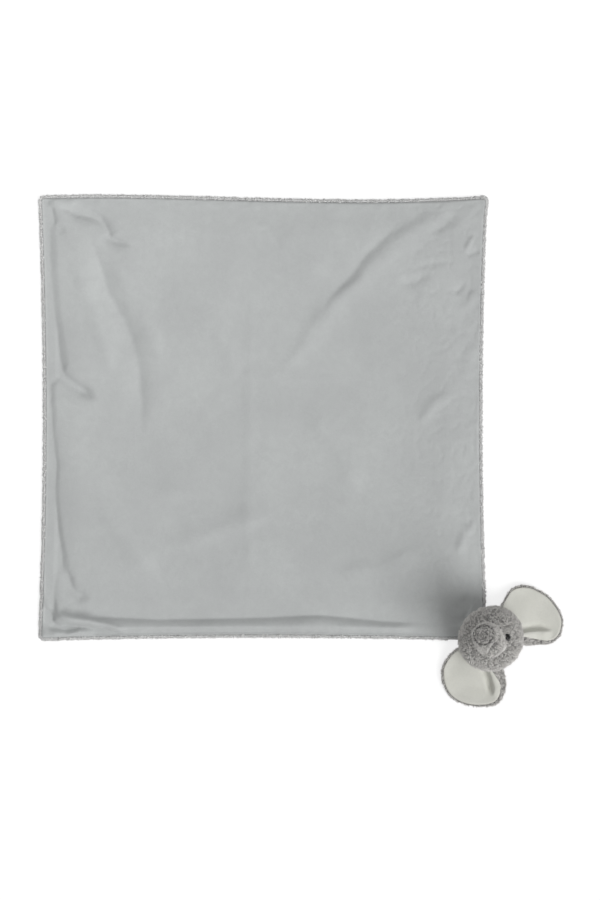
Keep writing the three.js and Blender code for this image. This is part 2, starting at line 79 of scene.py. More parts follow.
# Velour: depth of its seam and from where painted shade darkens the seam, depth of its low
# border at the left with the width of the step up from it, and at the bottom, and height and
# width of the roll at the bottom and of the puffed border
seam_dip = 2.2 * mm
seam_shade_from = -300 * mm
left_drop = 7.8 * mm
left_step = 25 * mm
bottom_drop = 5.6 * mm
roll_rise = 9.4 * mm
roll_width = 15 * mm
puff_rise = 2.4 * mm
puff_width = 8 * mm

# Neck: half the width over which the corner is drawn in under the chin, and how much further it
# reaches beside that and over which width
chin_half = 13 * mm
chin_reach = 13 * mm
chin_slope = 18 * mm

# Gathered cloth in the neck: its start and length along the head's line, half width, half
# thickness and middle height, and how far these change towards the head
gather_start = -39 * mm
gather_length = 20 * mm
gather_half = 15 * mm
gather_drawn = 7.4 * mm
gather_thick = 3.4 * mm
gather_middle = 4.4 * mm
gather_rise = 3.6 * mm

# Head: a ball slightly wider across the ears, its four panels and their seams, and its eyes
head_height = 44 * mm
head_tall = 44.5 * mm
gusset_half = 13 * mm
panel_thickness = 2.6 * mm
seam_depth = 1.5 * mm
seam_width = 1.7 * mm
eye_inward = 1.6 * mm
eye_bare_half = 3.3 * mm
eye_bare_tall = 6.8 * mm

# Forehead and throat: how far from the top to the crown their seam lies, half the angle between
# them there, and the angle from the top at which they end under the head
middle_seam = 2.7 * mm
middle_gap = 0.01
panel_end = math.pi * 0.998

# By the floor: the pile keeps this far above it, and is pressed flat from this much higher; the
# head's cloth lies no lower than the last
floor_gap = 0.4 * mm
pressed_pile = 1.6 * mm
lowest_cloth = floor_gap + 0.6 * pressed_pile

# Eye, in millimetres: radius and height of its stem and rim, and radius, foot and rise of its
# dome; and in metres, how deep its zero height lies below the top of the frame's eye
eye_stem = ((0, -6), (1.7, -5.9), (1.8, -0.2), (4.4, 0.1), (4.6, 0.35))
eye_radius = 4.6
eye_foot = 0.5
eye_rise = 3.1
eye_depth = 3.3 * mm

# Trunk: radii and places along its line, the crease in its back and the bare cloth in it, the
# lobe below it, and how much slimmer its right side is
trunk_foot = -9 * mm
trunk_ball = 14.8 * mm
trunk_swell = 21.8 * mm
trunk_neck = 30 * mm
trunk_end = 60.5 * mm
trunk_end_radius = 16.6 * mm
trunk_wall = 2.6 * mm
disc_radius = 14.2 * mm
crease_depth = 7 * mm
crease_width = 2.9 * mm
crease_bare = 14.8 * mm
crease_low = 20 * mm
crease_above_neck = 22 * mm
crease_fall = 24 * mm
lobe_rise = 2.6 * mm
lobe_width = 13 * mm
lobe_below = 17 * mm
slim_depth = 3.6 * mm

# Ears: height at the head and at the least, how deep in the head they start, layers, the raised
# rim and pleat, and the rows of their grids
ear_height = 22 * mm
ear_lowest = 1.2 * mm
ear_inside = 9 * mm
ear_back_thick = 4.2 * mm
ear_front_thick = 1.8 * mm
ear_rim_rise = 2.2 * mm
pleat_rise = 8.5 * mm
ear_rows = 50
ear_share = np.linspace(0, 1, ear_rows)[None, :] ** 0.85

# Pile: how far apart its tufts stand, their length and width, how far they lean, the size of the
# swirls in their lie, how far they curl over, and how readily the pile parts
rim_pile = dict(spacing=1.15 * mm, length=2.7 * mm, width=2.0 * mm, lean=0.8, swirl=4.5 * mm,
                curl=1.5, parting=0.42)
head_pile = dict(spacing=0.95 * mm, length=3.7 * mm, width=1.7 * mm, lean=0.8, swirl=4.6 * mm,
                 curl=1.9, parting=0.4)
trunk_pile = dict(spacing=0.95 * mm, length=3.5 * mm, width=1.7 * mm, lean=0.7, swirl=4.8 * mm,
                  curl=1.9, parting=0.4)
tip_pile = dict(spacing=1.0 * mm, length=2.8 * mm, width=1.6 * mm, lean=0.6, swirl=5 * mm,
                curl=1.6, parting=0.4)
ear_pile = dict(spacing=1.0 * mm, length=3.9 * mm, width=1.7 * mm, lean=0.6, swirl=5 * mm,
                curl=1.2, parting=0.36)

# Floor: half its side, and its height
floor_reach = 6.0
floor_level = -0.3 * mm

# Light: strength of the sky, and of the lamps with the directions they come from
sky_strength = 0.3
key_strength = 2.4
key_angle = math.radians(42)
key_place = Vector((1.0, -0.85, 1.15))
fill_strength = 1.1
fill_size = 1.4
fill_place = Vector((-0.5, 0.55, 1.15))

# Camera: the middle of the picture on the floor, the length of its long side, and its height
picture_middle = Vector((57.7 * mm, -49.5 * mm, 0))
picture_length = 1.406
camera_height = 2.6

crown = np.array((1.0, -1.0, 0.0)) / math.sqrt(2)
side = np.array((1.0, 1.0, 0.0)) / math.sqrt(2)


def corners(*nodes):
    """The corner points of the frame's named solids, as one array."""
    found = [[v.co[:] for v in frame["nodes"][node].data.vertices] for node in nodes]
    return np.concatenate([np.array(points, float) for points in found])


def span(points, direction):
    """Middle and half length of points along a direction."""
    reach = points @ direction
    return (reach.max() + reach.min()) / 2, (reach.max() - reach.min()) / 2


joints = {joint["name"]: joint for joint in frame["joints"]}
head_points = corners("head_side_right", "head_side_left", "forehead_gusset", "throat_gusset")
head_along, head_long = span(head_points, crown)
head_across, head_wide = span(head_points, side)
blanket_x, half_width = span(corners("blanket_back", "corner_back"), np.array((1.0, 0, 0)))
blanket_y, half_height = span(corners("blanket_back", "corner_back"), np.array((0, 1.0, 0)))
fold_point = np.array(joints["neck_fold"]["pos_m"])
trunk_root = np.array(joints["trunk_lean"]["pos_m"])
trunk_bend = np.array(joints["trunk_curl"]["pos_m"])
trunk_line = (trunk_bend - trunk_root) / np.linalg.norm(trunk_bend - trunk_root)
fold_along = fold_point @ crown - head_along


def head_frame(along, across, height):
    """Points from their distance to the crown, to the right ear, and up from the floor."""
    middle = head_along * crown + head_across * side
    parts = (np.asarray(along)[..., None] * crown, np.asarray(across)[..., None] * side)
    return middle + parts[0] + parts[1] + np.asarray(height)[..., None] * up


head_middle = head_frame(0, 0, head_height)
head_axes = ((crown, head_long), (side, head_wide), (up, head_tall))


def smooth(share):
    """A soft step from 0 to 1."""
    held = np.clip(share, 0, 1)
    return held * held * (3 - 2 * held)


def hill(distance, width):
    """1 at no distance, falling off smoothly over about a width."""
    return np.exp(-((distance / width) ** 2))


def rounded(share, start):
    """1 up to a start, then down to 0 as a quarter circle."""
    return np.sqrt(np.clip(1 - np.clip((share - start) / (1 - start), 0, 1) ** 2, 0, 1))


def raised(x, y, height=0.0):
    """Points at places of the plan, at a height above the floor."""
    return np.stack([x, y, height + np.zeros_like(x)], -1)


def lumps(points, size, seed):
    """Smooth noise, about -0.7 to 0.7, with features about size across."""
    shift = Vector((7.3, 3.1, 5.7)) * seed
    flat = np.asarray(points).reshape(-1, 3) / size
    values = [noise.noise(Vector(point) + shift) for point in flat]
    return np.array(values).reshape(np.asarray(points).shape[:-1])


def turns(count):
    """Angles evenly spaced once round."""
    return np.linspace(0, 2 * math.pi, count, endpoint=False)


def curve_points(points, count):
    """A smooth line through points, as count points evenly spaced along it."""
    points = np.asarray(points, float)
    padded = np.vstack([2 * points[0] - points[1], points, 2 * points[-1] - points[-2]])
    line = []
    for i in range(1, len(padded) - 2):
        a, b, c, d = padded[i - 1:i + 3]
        for t in np.linspace(0, 1, 24, endpoint=False):
            bent = 2 * b + (c - a) * t + (2 * a - 5 * b + 4 * c - d) * t ** 2
            line.append((bent + (3 * b - a - 3 * c + d) * t ** 3) / 2)
    line = np.array(line + [points[-1]])
    steps = np.concatenate([[0], np.cumsum(np.linalg.norm(np.diff(line, axis=0), axis=1))])
    even = np.linspace(0, steps[-1], count)
    return np.stack([np.interp(even, steps, line[:, k]) for k in range(points.shape[1])], 1)


def line_distance(plan, line):
    """Distance from places in a plan to a line, positive on its right, and the share along it."""
    best = np.full(plan.shape[:-1], np.inf)
    signed = np.zeros(plan.shape[:-1])
    along_line = np.zeros(plan.shape[:-1])
    steps = np.diff(line, axis=0)
    lengths = np.linalg.norm(steps, axis=1)
    for k, (start, step, length) in enumerate(zip(line, steps, lengths)):
        along = np.clip((plan - start) @ step / length ** 2, 0, 1)
        away = plan - start - along[..., None] * step
        distance = np.hypot(away[..., 0], away[..., 1])
        turn = step[0] * away[..., 1] - step[1] * away[..., 0]
        nearer = distance < best
        signed = np.where(nearer, np.where(turn > 0, -distance, distance), signed)
        travelled = (lengths[:k].sum() + along * length) / lengths.sum()
        along_line = np.where(nearer, travelled, along_line)
        best = np.minimum(best, distance)
    return signed, along_line


# Meshes


def add_object(name, data):
    """An object in the scene with its mesh, lamp or camera data."""
    thing = bpy.data.objects.new(name, data)
    scene.collection.objects.link(thing)
    return thing


def new_piece(name, points, faces):
    """A smooth-shaded mesh whose faces point out."""
    mesh = bpy.data.meshes.new(name)
    mesh.from_pydata(np.asarray(points).tolist(), [], faces)
    mesh.update()
    volume = 0.0
    for face in mesh.polygons:
        first, *others = [mesh.vertices[k].co for k in face.vertices]
        volume += sum(first.dot(a.cross(b)) for a, b in zip(others, others[1:]))
    if volume < 0:
        mesh.flip_normals()
    mesh.polygons.foreach_set("use_smooth", np.ones(len(mesh.polygons), bool))
    return add_object(name, mesh)


def turned_piece(name, base, axis, across, profile):
    """A shape turned about an axis, from the radius and height of each place in its profile, of
    which the first and the last lie on the axis."""
    turn = turns(48)[:, None]
    around = np.cos(turn) * across + np.sin(turn) * np.cross(axis, across)
    rings = [base + height * axis + radius * around for radius, height in profile[1:-1]]
    points = np.vstack([base + profile[0][1] * axis, *rings, base + profile[-1][1] * axis])
    count = len(turn)
    end = len(points) - 1
    faces = []
    for i in range(count):
        k = (i + 1) % count
        faces.append([0, 1 + k, 1 + i])
        for a in range(1, end - count, count):
            faces.append([a + i, a + k, a + count + k, a + count + i])
        faces.append([end - count + i, end - count + k, end])
    return new_piece(name, points, faces)


def closed_shell(name, outer, inner, wrap=False, pole=False):
    """A wall between two grids of points. wrap joins its first and last column, and a pole
    closes its last row to a point."""
    columns, rows = outer.shape[:2]
    points = []
    index = {}
    for layer, grid in enumerate((outer, inner)):
        for i in range(columns):
            for j in range(rows):
                if pole and j == rows - 1 and i:
                    index[layer, i, j] = index[layer, 0, j]
                    continue
                index[layer, i, j] = len(points)
                points.append(grid[i, j])
    faces = []

    def add(*corner_keys):
        face = []
        for key in corner_keys:
            if index[key] not in face:
                face.append(index[key])
        if len(face) > 2:
            faces.append(face)

    last = columns if wrap else columns - 1
    for i in range(last):
        k = (i + 1) % columns
        for j in range(rows - 1):
            add((0, i, j), (0, k, j), (0, k, j + 1), (0, i, j + 1))
            add((1, i, j), (1, i, j + 1), (1, k, j + 1), (1, k, j))
        add((0, i, 0), (1, i, 0), (1, k, 0), (0, k, 0))
        if not pole:
            j = rows - 1
            add((0, i, j), (0, k, j), (1, k, j), (1, i, j))
    if not wrap:
        i = columns - 1
        for j in range(rows - 1):
            add((0, 0, j), (0, 0, j + 1), (1, 0, j + 1), (1, 0, j))
            add((0, i, j), (1, i, j), (1, i, j + 1), (0, i, j + 1))
    return new_piece(name, points, faces)


def cloth_pair(name, top, bottom):
    """A closed cloth: a fine top grid, and a bottom grid of every second point."""
    columns, rows = top.shape[:2]
    below_columns, below_rows = bottom.shape[:2]
    base = columns * rows
    faces = []
    for i in range(columns - 1):
        for j in range(rows - 1):
            a = i * rows + j
            faces.append([a, a + rows, a + rows + 1, a + 1])
    for i in range(below_columns - 1):
        for j in range(below_rows - 1):
            a = base + i * below_rows + j
            faces.append([a, a + 1, a + below_rows + 1, a + below_rows])

    def ring(count_i, count_j, start):
        loop = [(i, 0) for i in range(count_i - 1)]
        loop += [(count_i - 1, j) for j in range(count_j - 1)]
        loop += [(i, count_j - 1) for i in range(count_i - 1, 0, -1)]
        loop += [(0, j) for j in range(count_j - 1, 0, -1)]
        return [start + i * count_j + j for i, j in loop]

    above = ring(columns, rows, 0)
    below = ring(below_columns, below_rows, base)
    for k, point in enumerate(below):
        after = below[(k + 1) % len(below)]
        first, middle, last = above[2 * k], above[2 * k + 1], above[(2 * k + 2) % len(above)]
        faces += [[point, after, middle], [point, middle, first], [after, last, middle]]
    return new_piece(name, np.vstack([top.reshape(-1, 3), bottom.reshape(-1, 3)]), faces)


def give(piece, name, *grids, kind="FLOAT", field="value"):
    """Stores a number for each point of a piece, grid by grid, for its material or its pile."""
    attribute = piece.data.attributes.new(name, kind, "POINT")
    values = np.concatenate([np.asarray(grid, np.float32).ravel() for grid in grids])
    attribute.data.foreach_set(field, values)


def dye(piece, material):
    """Gives a piece one material."""
    piece.data.materials.clear()
    piece.data.materials.append(material)


def comb_pile(piece, *grids):
    """Stores which way the pile lies, over its upright growth."""
    give(piece, "comb", *grids, kind="FLOAT_VECTOR", field="vector")


def finished_mesh(thing):
    """The mesh of an object with its modifiers, as a plain mesh."""
    depsgraph = bpy.context.evaluated_depsgraph_get()
    return bpy.data.meshes.new_from_object(thing.evaluated_get(depsgraph), depsgraph=depsgraph)


def places(piece):
    """The points of a piece as an array."""
    points = np.zeros(len(piece.data.vertices) * 3, np.float32)
    piece.data.vertices.foreach_get("co", points)
    return points.reshape(-1, 3).astype(float)


# Materials


def feed(tree, socket, value):
    """Gives a socket a value, or joins it to another node's socket or to a node's first one."""
    if isinstance(value, bpy.types.Node):
        value = value.outputs[0]
    if isinstance(value, bpy.types.NodeSocket):
        tree.links.new(value, socket)
    else:
        socket.default_value = value


def add_node(tree, kind, inputs=(), **settings):
    """A node with its settings, and with its inputs fed by name or by number."""
    made = tree.nodes.new(kind)
    for key, value in settings.items():
        setattr(made, key, value)
    for key, value in dict(inputs).items():
        feed(tree, made.inputs[key], value)
    return made


class Finish:
    """A material under construction, with short calls for its nodes."""

    def __init__(self, name, roughness, sheen=0.0, specular=0.2):
        self.material = bpy.data.materials.new(name)
        self.material.use_nodes = True
        self.tree = self.material.node_tree
        self.inputs = self.tree.nodes["Principled BSDF"].inputs
        self.inputs["Roughness"].default_value = roughness
        self.inputs["Specular IOR Level"].default_value = specular
        self.inputs["Sheen Weight"].default_value = sheen
        self.inputs["Sheen Roughness"].default_value = 0.6
        self.place = self.make("ShaderNodeTexCoord").outputs["Object"]

    def make(self, kind, inputs=(), **settings):
        return add_node(self.tree, kind, inputs, **settings)

    def noise(self, size, detail=2.0, roughness=0.5, distortion=0.0):
        inputs = {"Vector": self.place, "Scale": 1 / size, "Detail": detail,
                  "Roughness": roughness, "Distortion": distortion}
        return self.make("ShaderNodeTexNoise", inputs)

    def cells(self, size, softness=0.6):
        inputs = {"Vector": self.place, "Scale": 1 / size, "Smoothness": softness}
        return self.make("ShaderNodeTexVoronoi", inputs, feature="SMOOTH_F1")

    def attribute(self, name):
        return self.make("ShaderNodeAttribute", attribute_name=name).outputs["Fac"]

    def stretch(self, value, low, high, to_low=0.0, to_high=1.0):
        inputs = {"Value": value, "From Min": low, "From Max": high, "To Min": to_low,
                  "To Max": to_high}
        return self.make("ShaderNodeMapRange", inputs)

    def mix(self, share, *colours, kind="MIX"):
        first, second = [(*colour, 1) if isinstance(colour, tuple) else colour
                         for colour in colours]
        inputs = {"Factor": share, 6: first, 7: second}
        return self.make("ShaderNodeMix", inputs, data_type="RGBA", blend_type=kind).outputs[2]

    def grey(self, value):
        return self.make("ShaderNodeCombineColor", dict.fromkeys(("Red", "Green", "Blue"), value))

    def colour(self, value):
        feed(self.tree, self.inputs["Base Color"], value)

    def bump(self, value, depth, strength=0.6):
        made = self.make("ShaderNodeBump", {"Strength": strength, "Distance": depth,
                                            "Height": value})
        if self.inputs["Normal"].is_linked:
            feed(self.tree, made.inputs["Normal"], self.inputs["Normal"].links[0].from_socket)
        feed(self.tree, self.inputs["Normal"], made)


def seen(red, green, blue):
    """A colour as it is seen, in 0 to 255, as the linear values that a shader takes."""
    shares = [channel / 255 for channel in (red, green, blue)]
    return tuple(s / 12.92 if s <= 0.04045 else ((s + 0.055) / 1.055) ** 2.4 for s in shares)


def velour(name, light, dark, seam_shade_colour):
    """Short brushed pile: broad patches where the nap lies another way, a fine grain, and painted
    shade along its seam.
    """
    finish = Finish(name, 0.95, sheen=0.15)
    patches = finish.stretch(finish.noise(120 * mm, 4.0, 0.6), 0.3, 0.7, 0.2, 0.8)
    nap = finish.stretch(finish.noise(13 * mm, 4.0, 0.65, 0.6), 0.35, 0.65)
    base = finish.mix(patches, dark, light)
    base = finish.mix(finish.stretch(nap, 0, 1, 0.0, 0.4), base, dark)
    grain = finish.stretch(finish.noise(1.1 * mm, 2.0, 0.7), 0.25, 0.75, 0.9, 1.06)
    base = finish.mix(1.0, base, finish.grey(grain), kind="MULTIPLY")
    # Painted shade: darkened towards the seam colour where the seam number is set, for the shadow
    # in the seam's crease.
    finish.colour(finish.mix(finish.attribute("seam"), base, seam_shade_colour))
    finish.bump(finish.noise(6 * mm, 2.0), 0.6 * mm, 0.35)
    finish.bump(finish.noise(0.9 * mm, 2.0, 0.8), 0.25 * mm, 0.6)
    return finish.material


def fleece(name, light, dark):
    """Sherpa: round nubs of curled pile, with painted shade in the gaps between them."""
    finish = Finish(name, 1.0, sheen=0.1)
    nubs = finish.stretch(finish.cells(4.2 * mm), 0.1, 0.75)
    curl = finish.stretch(finish.noise(1.6 * mm, 3.0, 0.7, 0.8), 0.3, 0.7)
    # Painted shade: the gaps between the nubs are darker than the nubs.
    base = finish.mix(nubs, light, dark)
    finish.colour(finish.mix(finish.stretch(curl, 0, 1, 0, 0.4), base, dark))
    finish.bump(finish.stretch(nubs, 0, 1, 1, 0), 1.2 * mm, 0.7)
    finish.bump(curl, 0.4 * mm, 0.6)
    return finish.material


def pile(name, root, low, high):
    """Tufts: painted darker at the root for the shade deep in the pile, lighter to the tip, each a
    little different.
    """
    finish = Finish(name, 1.0, sheen=0.1)
    drift = finish.stretch(finish.noise(14 * mm, 2.0), 0.35, 0.65)
    each = finish.stretch(finish.attribute("shade"), 0, 1, 0.0, 0.6)
    tips = finish.mix(each, high, low)
    tips = finish.mix(finish.stretch(drift, 0, 1, 0, 0.45), tips, low)
    # The root colour is painted shade deep in the pile.
    tip = finish.stretch(finish.attribute("tip"), 0.05, 0.75)
    finish.colour(finish.mix(tip, root, tips))
    finish.bump(finish.noise(0.5 * mm, 2.0), 0.1 * mm, 0.5)
    return finish.material


def backing(name, light, dark):
    """The ground of the plush between its tufts, painted dark for the shade down between them."""
    finish = Finish(name, 1.0, sheen=0.05)
    clumps = finish.stretch(finish.noise(3.2 * mm, 3.0, 0.7, 1.2), 0.35, 0.65)
    # Painted shade: both ground colours are darker than the tufts.
    finish.colour(finish.mix(clumps, dark, light))
    finish.bump(clumps, 0.9 * mm, 0.8)
    return finish.material


def eye_plastic():
    finish = Finish("eye_black_plastic", 0.07, specular=0.15)
    smear = finish.stretch(finish.noise(2.5 * mm, 2.0), 0.3, 0.7, 0.08, 0.16)
    feed(finish.tree, finish.inputs["Roughness"], smear)
    finish.colour(finish.mix(finish.noise(1.5 * mm), (0.004, 0.004, 0.005), (0.008, 0.008, 0.008)))
    return finish.material


def fibre_fill():
    finish = Finish("polyester_fibre", 1.0, sheen=0.3)
    strands = finish.noise(1.5 * mm, 4.0, 0.75, 2.5)
    finish.colour(finish.mix(strands, (0.62, 0.62, 0.6), (0.9, 0.9, 0.88)))
    finish.bump(strands, 1.0 * mm, 0.8)
    return finish.material


def washer_plastic():
    finish = Finish("natural_plastic", 0.42)
    cloudy = finish.noise(1.8 * mm, 2.0)
    finish.colour(finish.mix(cloudy, (0.66, 0.66, 0.62), (0.76, 0.76, 0.73)))
    finish.bump(finish.noise(0.4 * mm), 0.05 * mm, 0.4)
    return finish.material


# Pile


def pile_tree():
    """Tufts over a cloth. On the cloth, cover says where they grow and comb which way they lie."""
    tree = bpy.data.node_groups.new("tufted_pile", "GeometryNodeTree")
    kinds = {"Cloth": "Geometry", "Spacing": "Float", "Length": "Float", "Width": "Float",
             "Lean": "Float", "Swirl": "Float", "Curl": "Float", "Parting": "Float",
             "Seed": "Int", "Material": "Material"}
    for label, kind in kinds.items():
        tree.interface.new_socket(label, in_out="INPUT", socket_type="NodeSocket" + kind)
    tree.interface.new_socket("Pile", in_out="OUTPUT", socket_type="NodeSocketGeometry")
    given = tree.nodes.new("NodeGroupInput").outputs

    def make(kind, inputs=(), **settings):
        return add_node(tree, kind, inputs, **settings)

    def maths(operation, *values):
        return make("ShaderNodeMath", enumerate(values), operation=operation)

    def vector(operation, *values, **named):
        inputs = {**dict(enumerate(values)), **named}
        return make("ShaderNodeVectorMath", inputs, operation=operation)

    def stored(name, kind):
        return make("GeometryNodeInputNamedAttribute", {"Name": name}, data_type=kind)

    # Where the tufts stand
    most = maths("DIVIDE", 1.6, maths("MULTIPLY", given["Spacing"], given["Spacing"]))
    spread = make("GeometryNodeDistributePointsOnFaces",
                  {"Mesh": given["Cloth"], "Distance Min": given["Spacing"], "Density Max": most,
                   "Density Factor": stored("cover", "FLOAT"), "Seed": given["Seed"]},
                  distribute_method="POISSON")

    # One tuft: a three-sided spike that curls over
    spike = make("GeometryNodeMeshCone",
                 {"Vertices": 3, "Side Segments": 3, "Radius Top": 0.3, "Radius Bottom": 1.0,
                  "Depth": 1.0}, fill_type="NGON")
    place = make("GeometryNodeInputPosition")
    height = make("ShaderNodeSeparateXYZ", {"Vector": place}).outputs["Z"]
    marked = make("GeometryNodeStoreNamedAttribute",
                  {"Geometry": spike, "Name": "tip", "Value": height},
                  data_type="FLOAT", domain="POINT")
    squared = maths("MULTIPLY", height, height)
    bent = make("ShaderNodeCombineXYZ", {"X": maths("MULTIPLY", squared, given["Curl"]),
                                         "Z": maths("MULTIPLY", squared, -0.3)})
    tuft = make("GeometryNodeSetPosition", {"Geometry": marked, "Offset": bent})

    # Which way each one leans, and how far it is turned about itself
    swirl = make("ShaderNodeTexNoise", {"Vector": place, "Detail": 1.5,
                                        "Scale": maths("DIVIDE", 1.0, given["Swirl"])})
    sideways = vector("SUBTRACT", swirl.outputs["Color"], (0.5, 0.5, 0.5))
    blown = vector("SCALE", sideways, Scale=maths("MULTIPLY", given["Lean"], 4.0))
    upright = vector("ADD", spread.outputs["Normal"], blown)
    direction = vector("ADD", upright, stored("comb", "FLOAT_VECTOR"))
    standing = make("FunctionNodeAlignRotationToVector", {"Vector": direction}, axis="Z")
    spin = make("FunctionNodeRandomValue", {"Min": 0.0, "Max": 6.28, "Seed": given["Seed"]},
                data_type="FLOAT")
    about = make("ShaderNodeCombineXYZ", {"Z": spin.outputs[1]})
    turned = make("FunctionNodeRotateRotation", {"Rotation": standing, "Rotate By": about},
                  rotation_space="LOCAL")

    # Its size: by chance, and smaller where the pile parts
    chance = make("FunctionNodeRandomValue", {2: 0.7, 3: 1.25}, data_type="FLOAT")
    clumped = make("ShaderNodeMapRange",
                   {"Value": swirl, "From Min": maths("SUBTRACT", given["Parting"], 0.06),
                    "From Max": maths("ADD", given["Parting"], 0.14), "To Min": 0.5,
                    "To Max": 1.1})
    thick = maths("MULTIPLY", given["Width"], 0.5)
    shape = make("ShaderNodeCombineXYZ", {"X": thick, "Y": thick, "Z": given["Length"]})
    size = vector("SCALE", shape, Scale=maths("MULTIPLY", chance.outputs[1], clumped))
    placed = make("GeometryNodeInstanceOnPoints",
                  {"Points": spread, "Instance": tuft, "Rotation": turned, "Scale": size})

    # Its shade, and the whole as a mesh
    each = make("FunctionNodeRandomValue", data_type="FLOAT")
    shaded = make("GeometryNodeStoreNamedAttribute",
                  {"Geometry": placed, "Name": "shade", "Value": each.outputs[1]},
                  data_type="FLOAT", domain="INSTANCE")
    real = make("GeometryNodeRealizeInstances", {"Geometry": shaded})
    dyed = make("GeometryNodeSetMaterial", {"Geometry": real, "Material": given["Material"]})
    make("NodeGroupOutput", {"Pile": dyed})
    return tree


tufts = pile_tree()


def grow_pile(name, cloth, material, **sizes):
    """The pile on a cloth as a plain mesh of its own, its lowest part pressed flat by the floor."""
    carrier = add_object(name + "_carrier", cloth.data.copy())
    modifier = carrier.modifiers.new("pile", "NODES")
    modifier.node_group = tufts
    values = {label.capitalize(): value for label, value in sizes.items()}
    values["Material"] = material
    for item in tufts.interface.items_tree:
        if item.in_out == "INPUT" and item.name in values:
            modifier[item.identifier] = values[item.name]
    mesh = finished_mesh(carrier)
    bpy.data.objects.remove(carrier)
    mesh.polygons.foreach_set("use_smooth", np.ones(len(mesh.polygons), bool))
    piece = add_object(name, mesh)
    points = places(piece)
    height = points[:, 2]
    pressed = floor_gap + pressed_pile * np.exp((height - floor_gap) / pressed_pile - 1)
    points[:, 2] = np.where(height < floor_gap + pressed_pile, pressed, height)
    mesh.vertices.foreach_set("co", points.ravel())
    return piece


# Blanket

# Folds in the velour, all in millimetres: the route of each, its height (below nothing for a
# hollow), and its width on the left and on the right of its route
folds = (
    ([(324, 356), (222, 281), (183, 246), (137, 204), (98, 160), (66, 112), (10, 62)], 4.2, 16, 15),
    ([(236, 312), (196, 284), (158, 250), (118, 204), (84, 158)], -3.0, 9, 9),
    ([(304, 322), (282, 302), (256, 284)], -2.6, 7, 8),
    ([(12, 304), (51, 261), (119, 213)], 2.6, 12, 9),
    ([(-272, 292), (-238, 192), (-213, 142), (-196, 90), (-190, 40), (-186, -35)], -7.2, 13, 17),
    ([(-296, 255), (-270, 190), (-248, 130), (-232, 60)], 4.0, 15, 15),
    ([(-238, 262), (-208, 196), (-178, 140), (-160, 80)], 3.0, 14, 14),
    ([(-322, 328), (-290, 322), (-262, 315), (-249, 304), (-240, 288), (-235, 278), (-198, 266)],
     -8.0, 6, 8),
    ([(-342, 84), (-318, 72), (-300, 56), (-256, 28)], -8.5, 7, 9),
    ([(-329, 72), (-331, -21), (-325, -75), (-327, -123), (-318, -196), (-300, -292)], -2.6, 8, 8),
    ([(-308, -230), (-296, -266), (-267, -284)], -5.0, 6, 8),
    ([(-340, -190), (-335, -250), (-322, -308)], -6.2, 6, 8),
    ([(-350, -322), (-300, -330), (-240, -334)], 6.0, 24, 20),
    ([(-346, -290), (-332, -309), (-331, -318), (-322, -324), (-284, -331)], -13.0, 6, 7),
    ([(-322, -281), (-312, -306), (-280, -313), (-250, -319), (-206, -333)], 7.5, 6, 7),
    ([(-316, -322), (-276, -326), (-252, -328), (-218, -337)], -13.0, 6, 7),
    ([(-340, 305), (-322, 299), (-306, 286)], -2.0, 4, 5),
    ([(-334, 332), (-328, 318), (-325, 300)], -3.0, 5, 6),
    ([(-300, 327), (-280, 319)], -2.6, 7, 8),
    ([(-130, 66), (-20, 68), (148, 60)], 0.7, 6, 9),
    ([(-20, 218), (-20, 60), (-22, -120), (-20, -335)], 0.8, 7, 9),
    ([(-165, -203), (-70, -176), (27, -139)], 3.0, 18, 14),
    ([(328, 286), (322, 272), (316, 256)], 2.4, 3, 4),
    ([(341, 260), (331, 256), (316, 252)], -2.4, 4, 4),
    ([(316, 214), (308, 203), (297, 190)], -2.6, 4, 4),
    ([(324, 218), (321, 198), (316, 176)], -1.2, 4, 4),
    ([(224, 224), (257, 241), (302, 244)], -1.5, 5, 5),
    ([(216, 220), (232, 202), (247, 182)], -1.6, 5, 6),
    ([(336, 206), (322, 180), (318, 160)], 1.8, 6, 7),
    ([(262, 232), (240, 214), (206, 210)], -2.4, 7, 9),
    ([(336, 120), (318, 92), (312, 50)], 1.8, 8, 7),
    ([(300, 40), (265, 22), (240, -10)], 3.0, 9, 9),
    ([(330, -160), (314, -182), (300, -215)], 3.0, 8, 8),
    ([(250, -200), (180, -232), (110, -240)], 3.2, 18, 13),
    ([(-262, -120), (-205, -196), (-160, -262)], 3.4, 14, 16),
    ([(60, 20), (120, -50), (150, -130)], 3.0, 18, 16),
    ([(-120, 180), (-60, 120), (-40, 60)], 2.4, 14, 12),
    ([(-250, -60), (-180, -110), (-100, -120)], 2.8, 15, 13),
)

# Lines along the cloth in millimetres: where it steps up from its low border at the left, each
# place given along the side and across, and where the roll along its bottom side begins
left_line = ((-345, -302), (-315, -288), (-196, -318), (-123, -327), (-75, -326), (-21, -330),
             (50, -331), (84, -310), (120, -316), (155, -323), (243, -329), (345, -334))
bottom_line = ((-345, -300), (-294, -308), (-270, -313), (-224, -315), (-161, -317), (-99, -317),
               (-5, -315), (89, -311), (183, -320), (345, -326))


def beyond(line, along, across, width):
    """How far places are across a step: 0 up to its line and 1 from a width beyond it."""
    run, middle = np.array(line).T * mm
    return np.clip((across - np.interp(along, run, middle)) / width, 0, 1)


def fold_relief(plan, route, height, left, right):
    """Rise of one fold, fading out at both ends of its route. Hollows are creased, ridges round."""
    line = curve_points(np.array(route, float) * mm, 40)
    signed, share = line_distance(plan, line)
    fade = smooth(share / 0.3) * smooth((1 - share) / 0.3)
    width = np.where(signed < 0, left, right) * mm * (0.35 + 0.65 * fade)
    eased = np.sqrt(signed ** 2 + (1.4 * mm) ** 2) - 1.4 * mm
    return height * mm * fade * np.exp(-((eased / width) ** (1.3 if height < 0 else 1.8)))


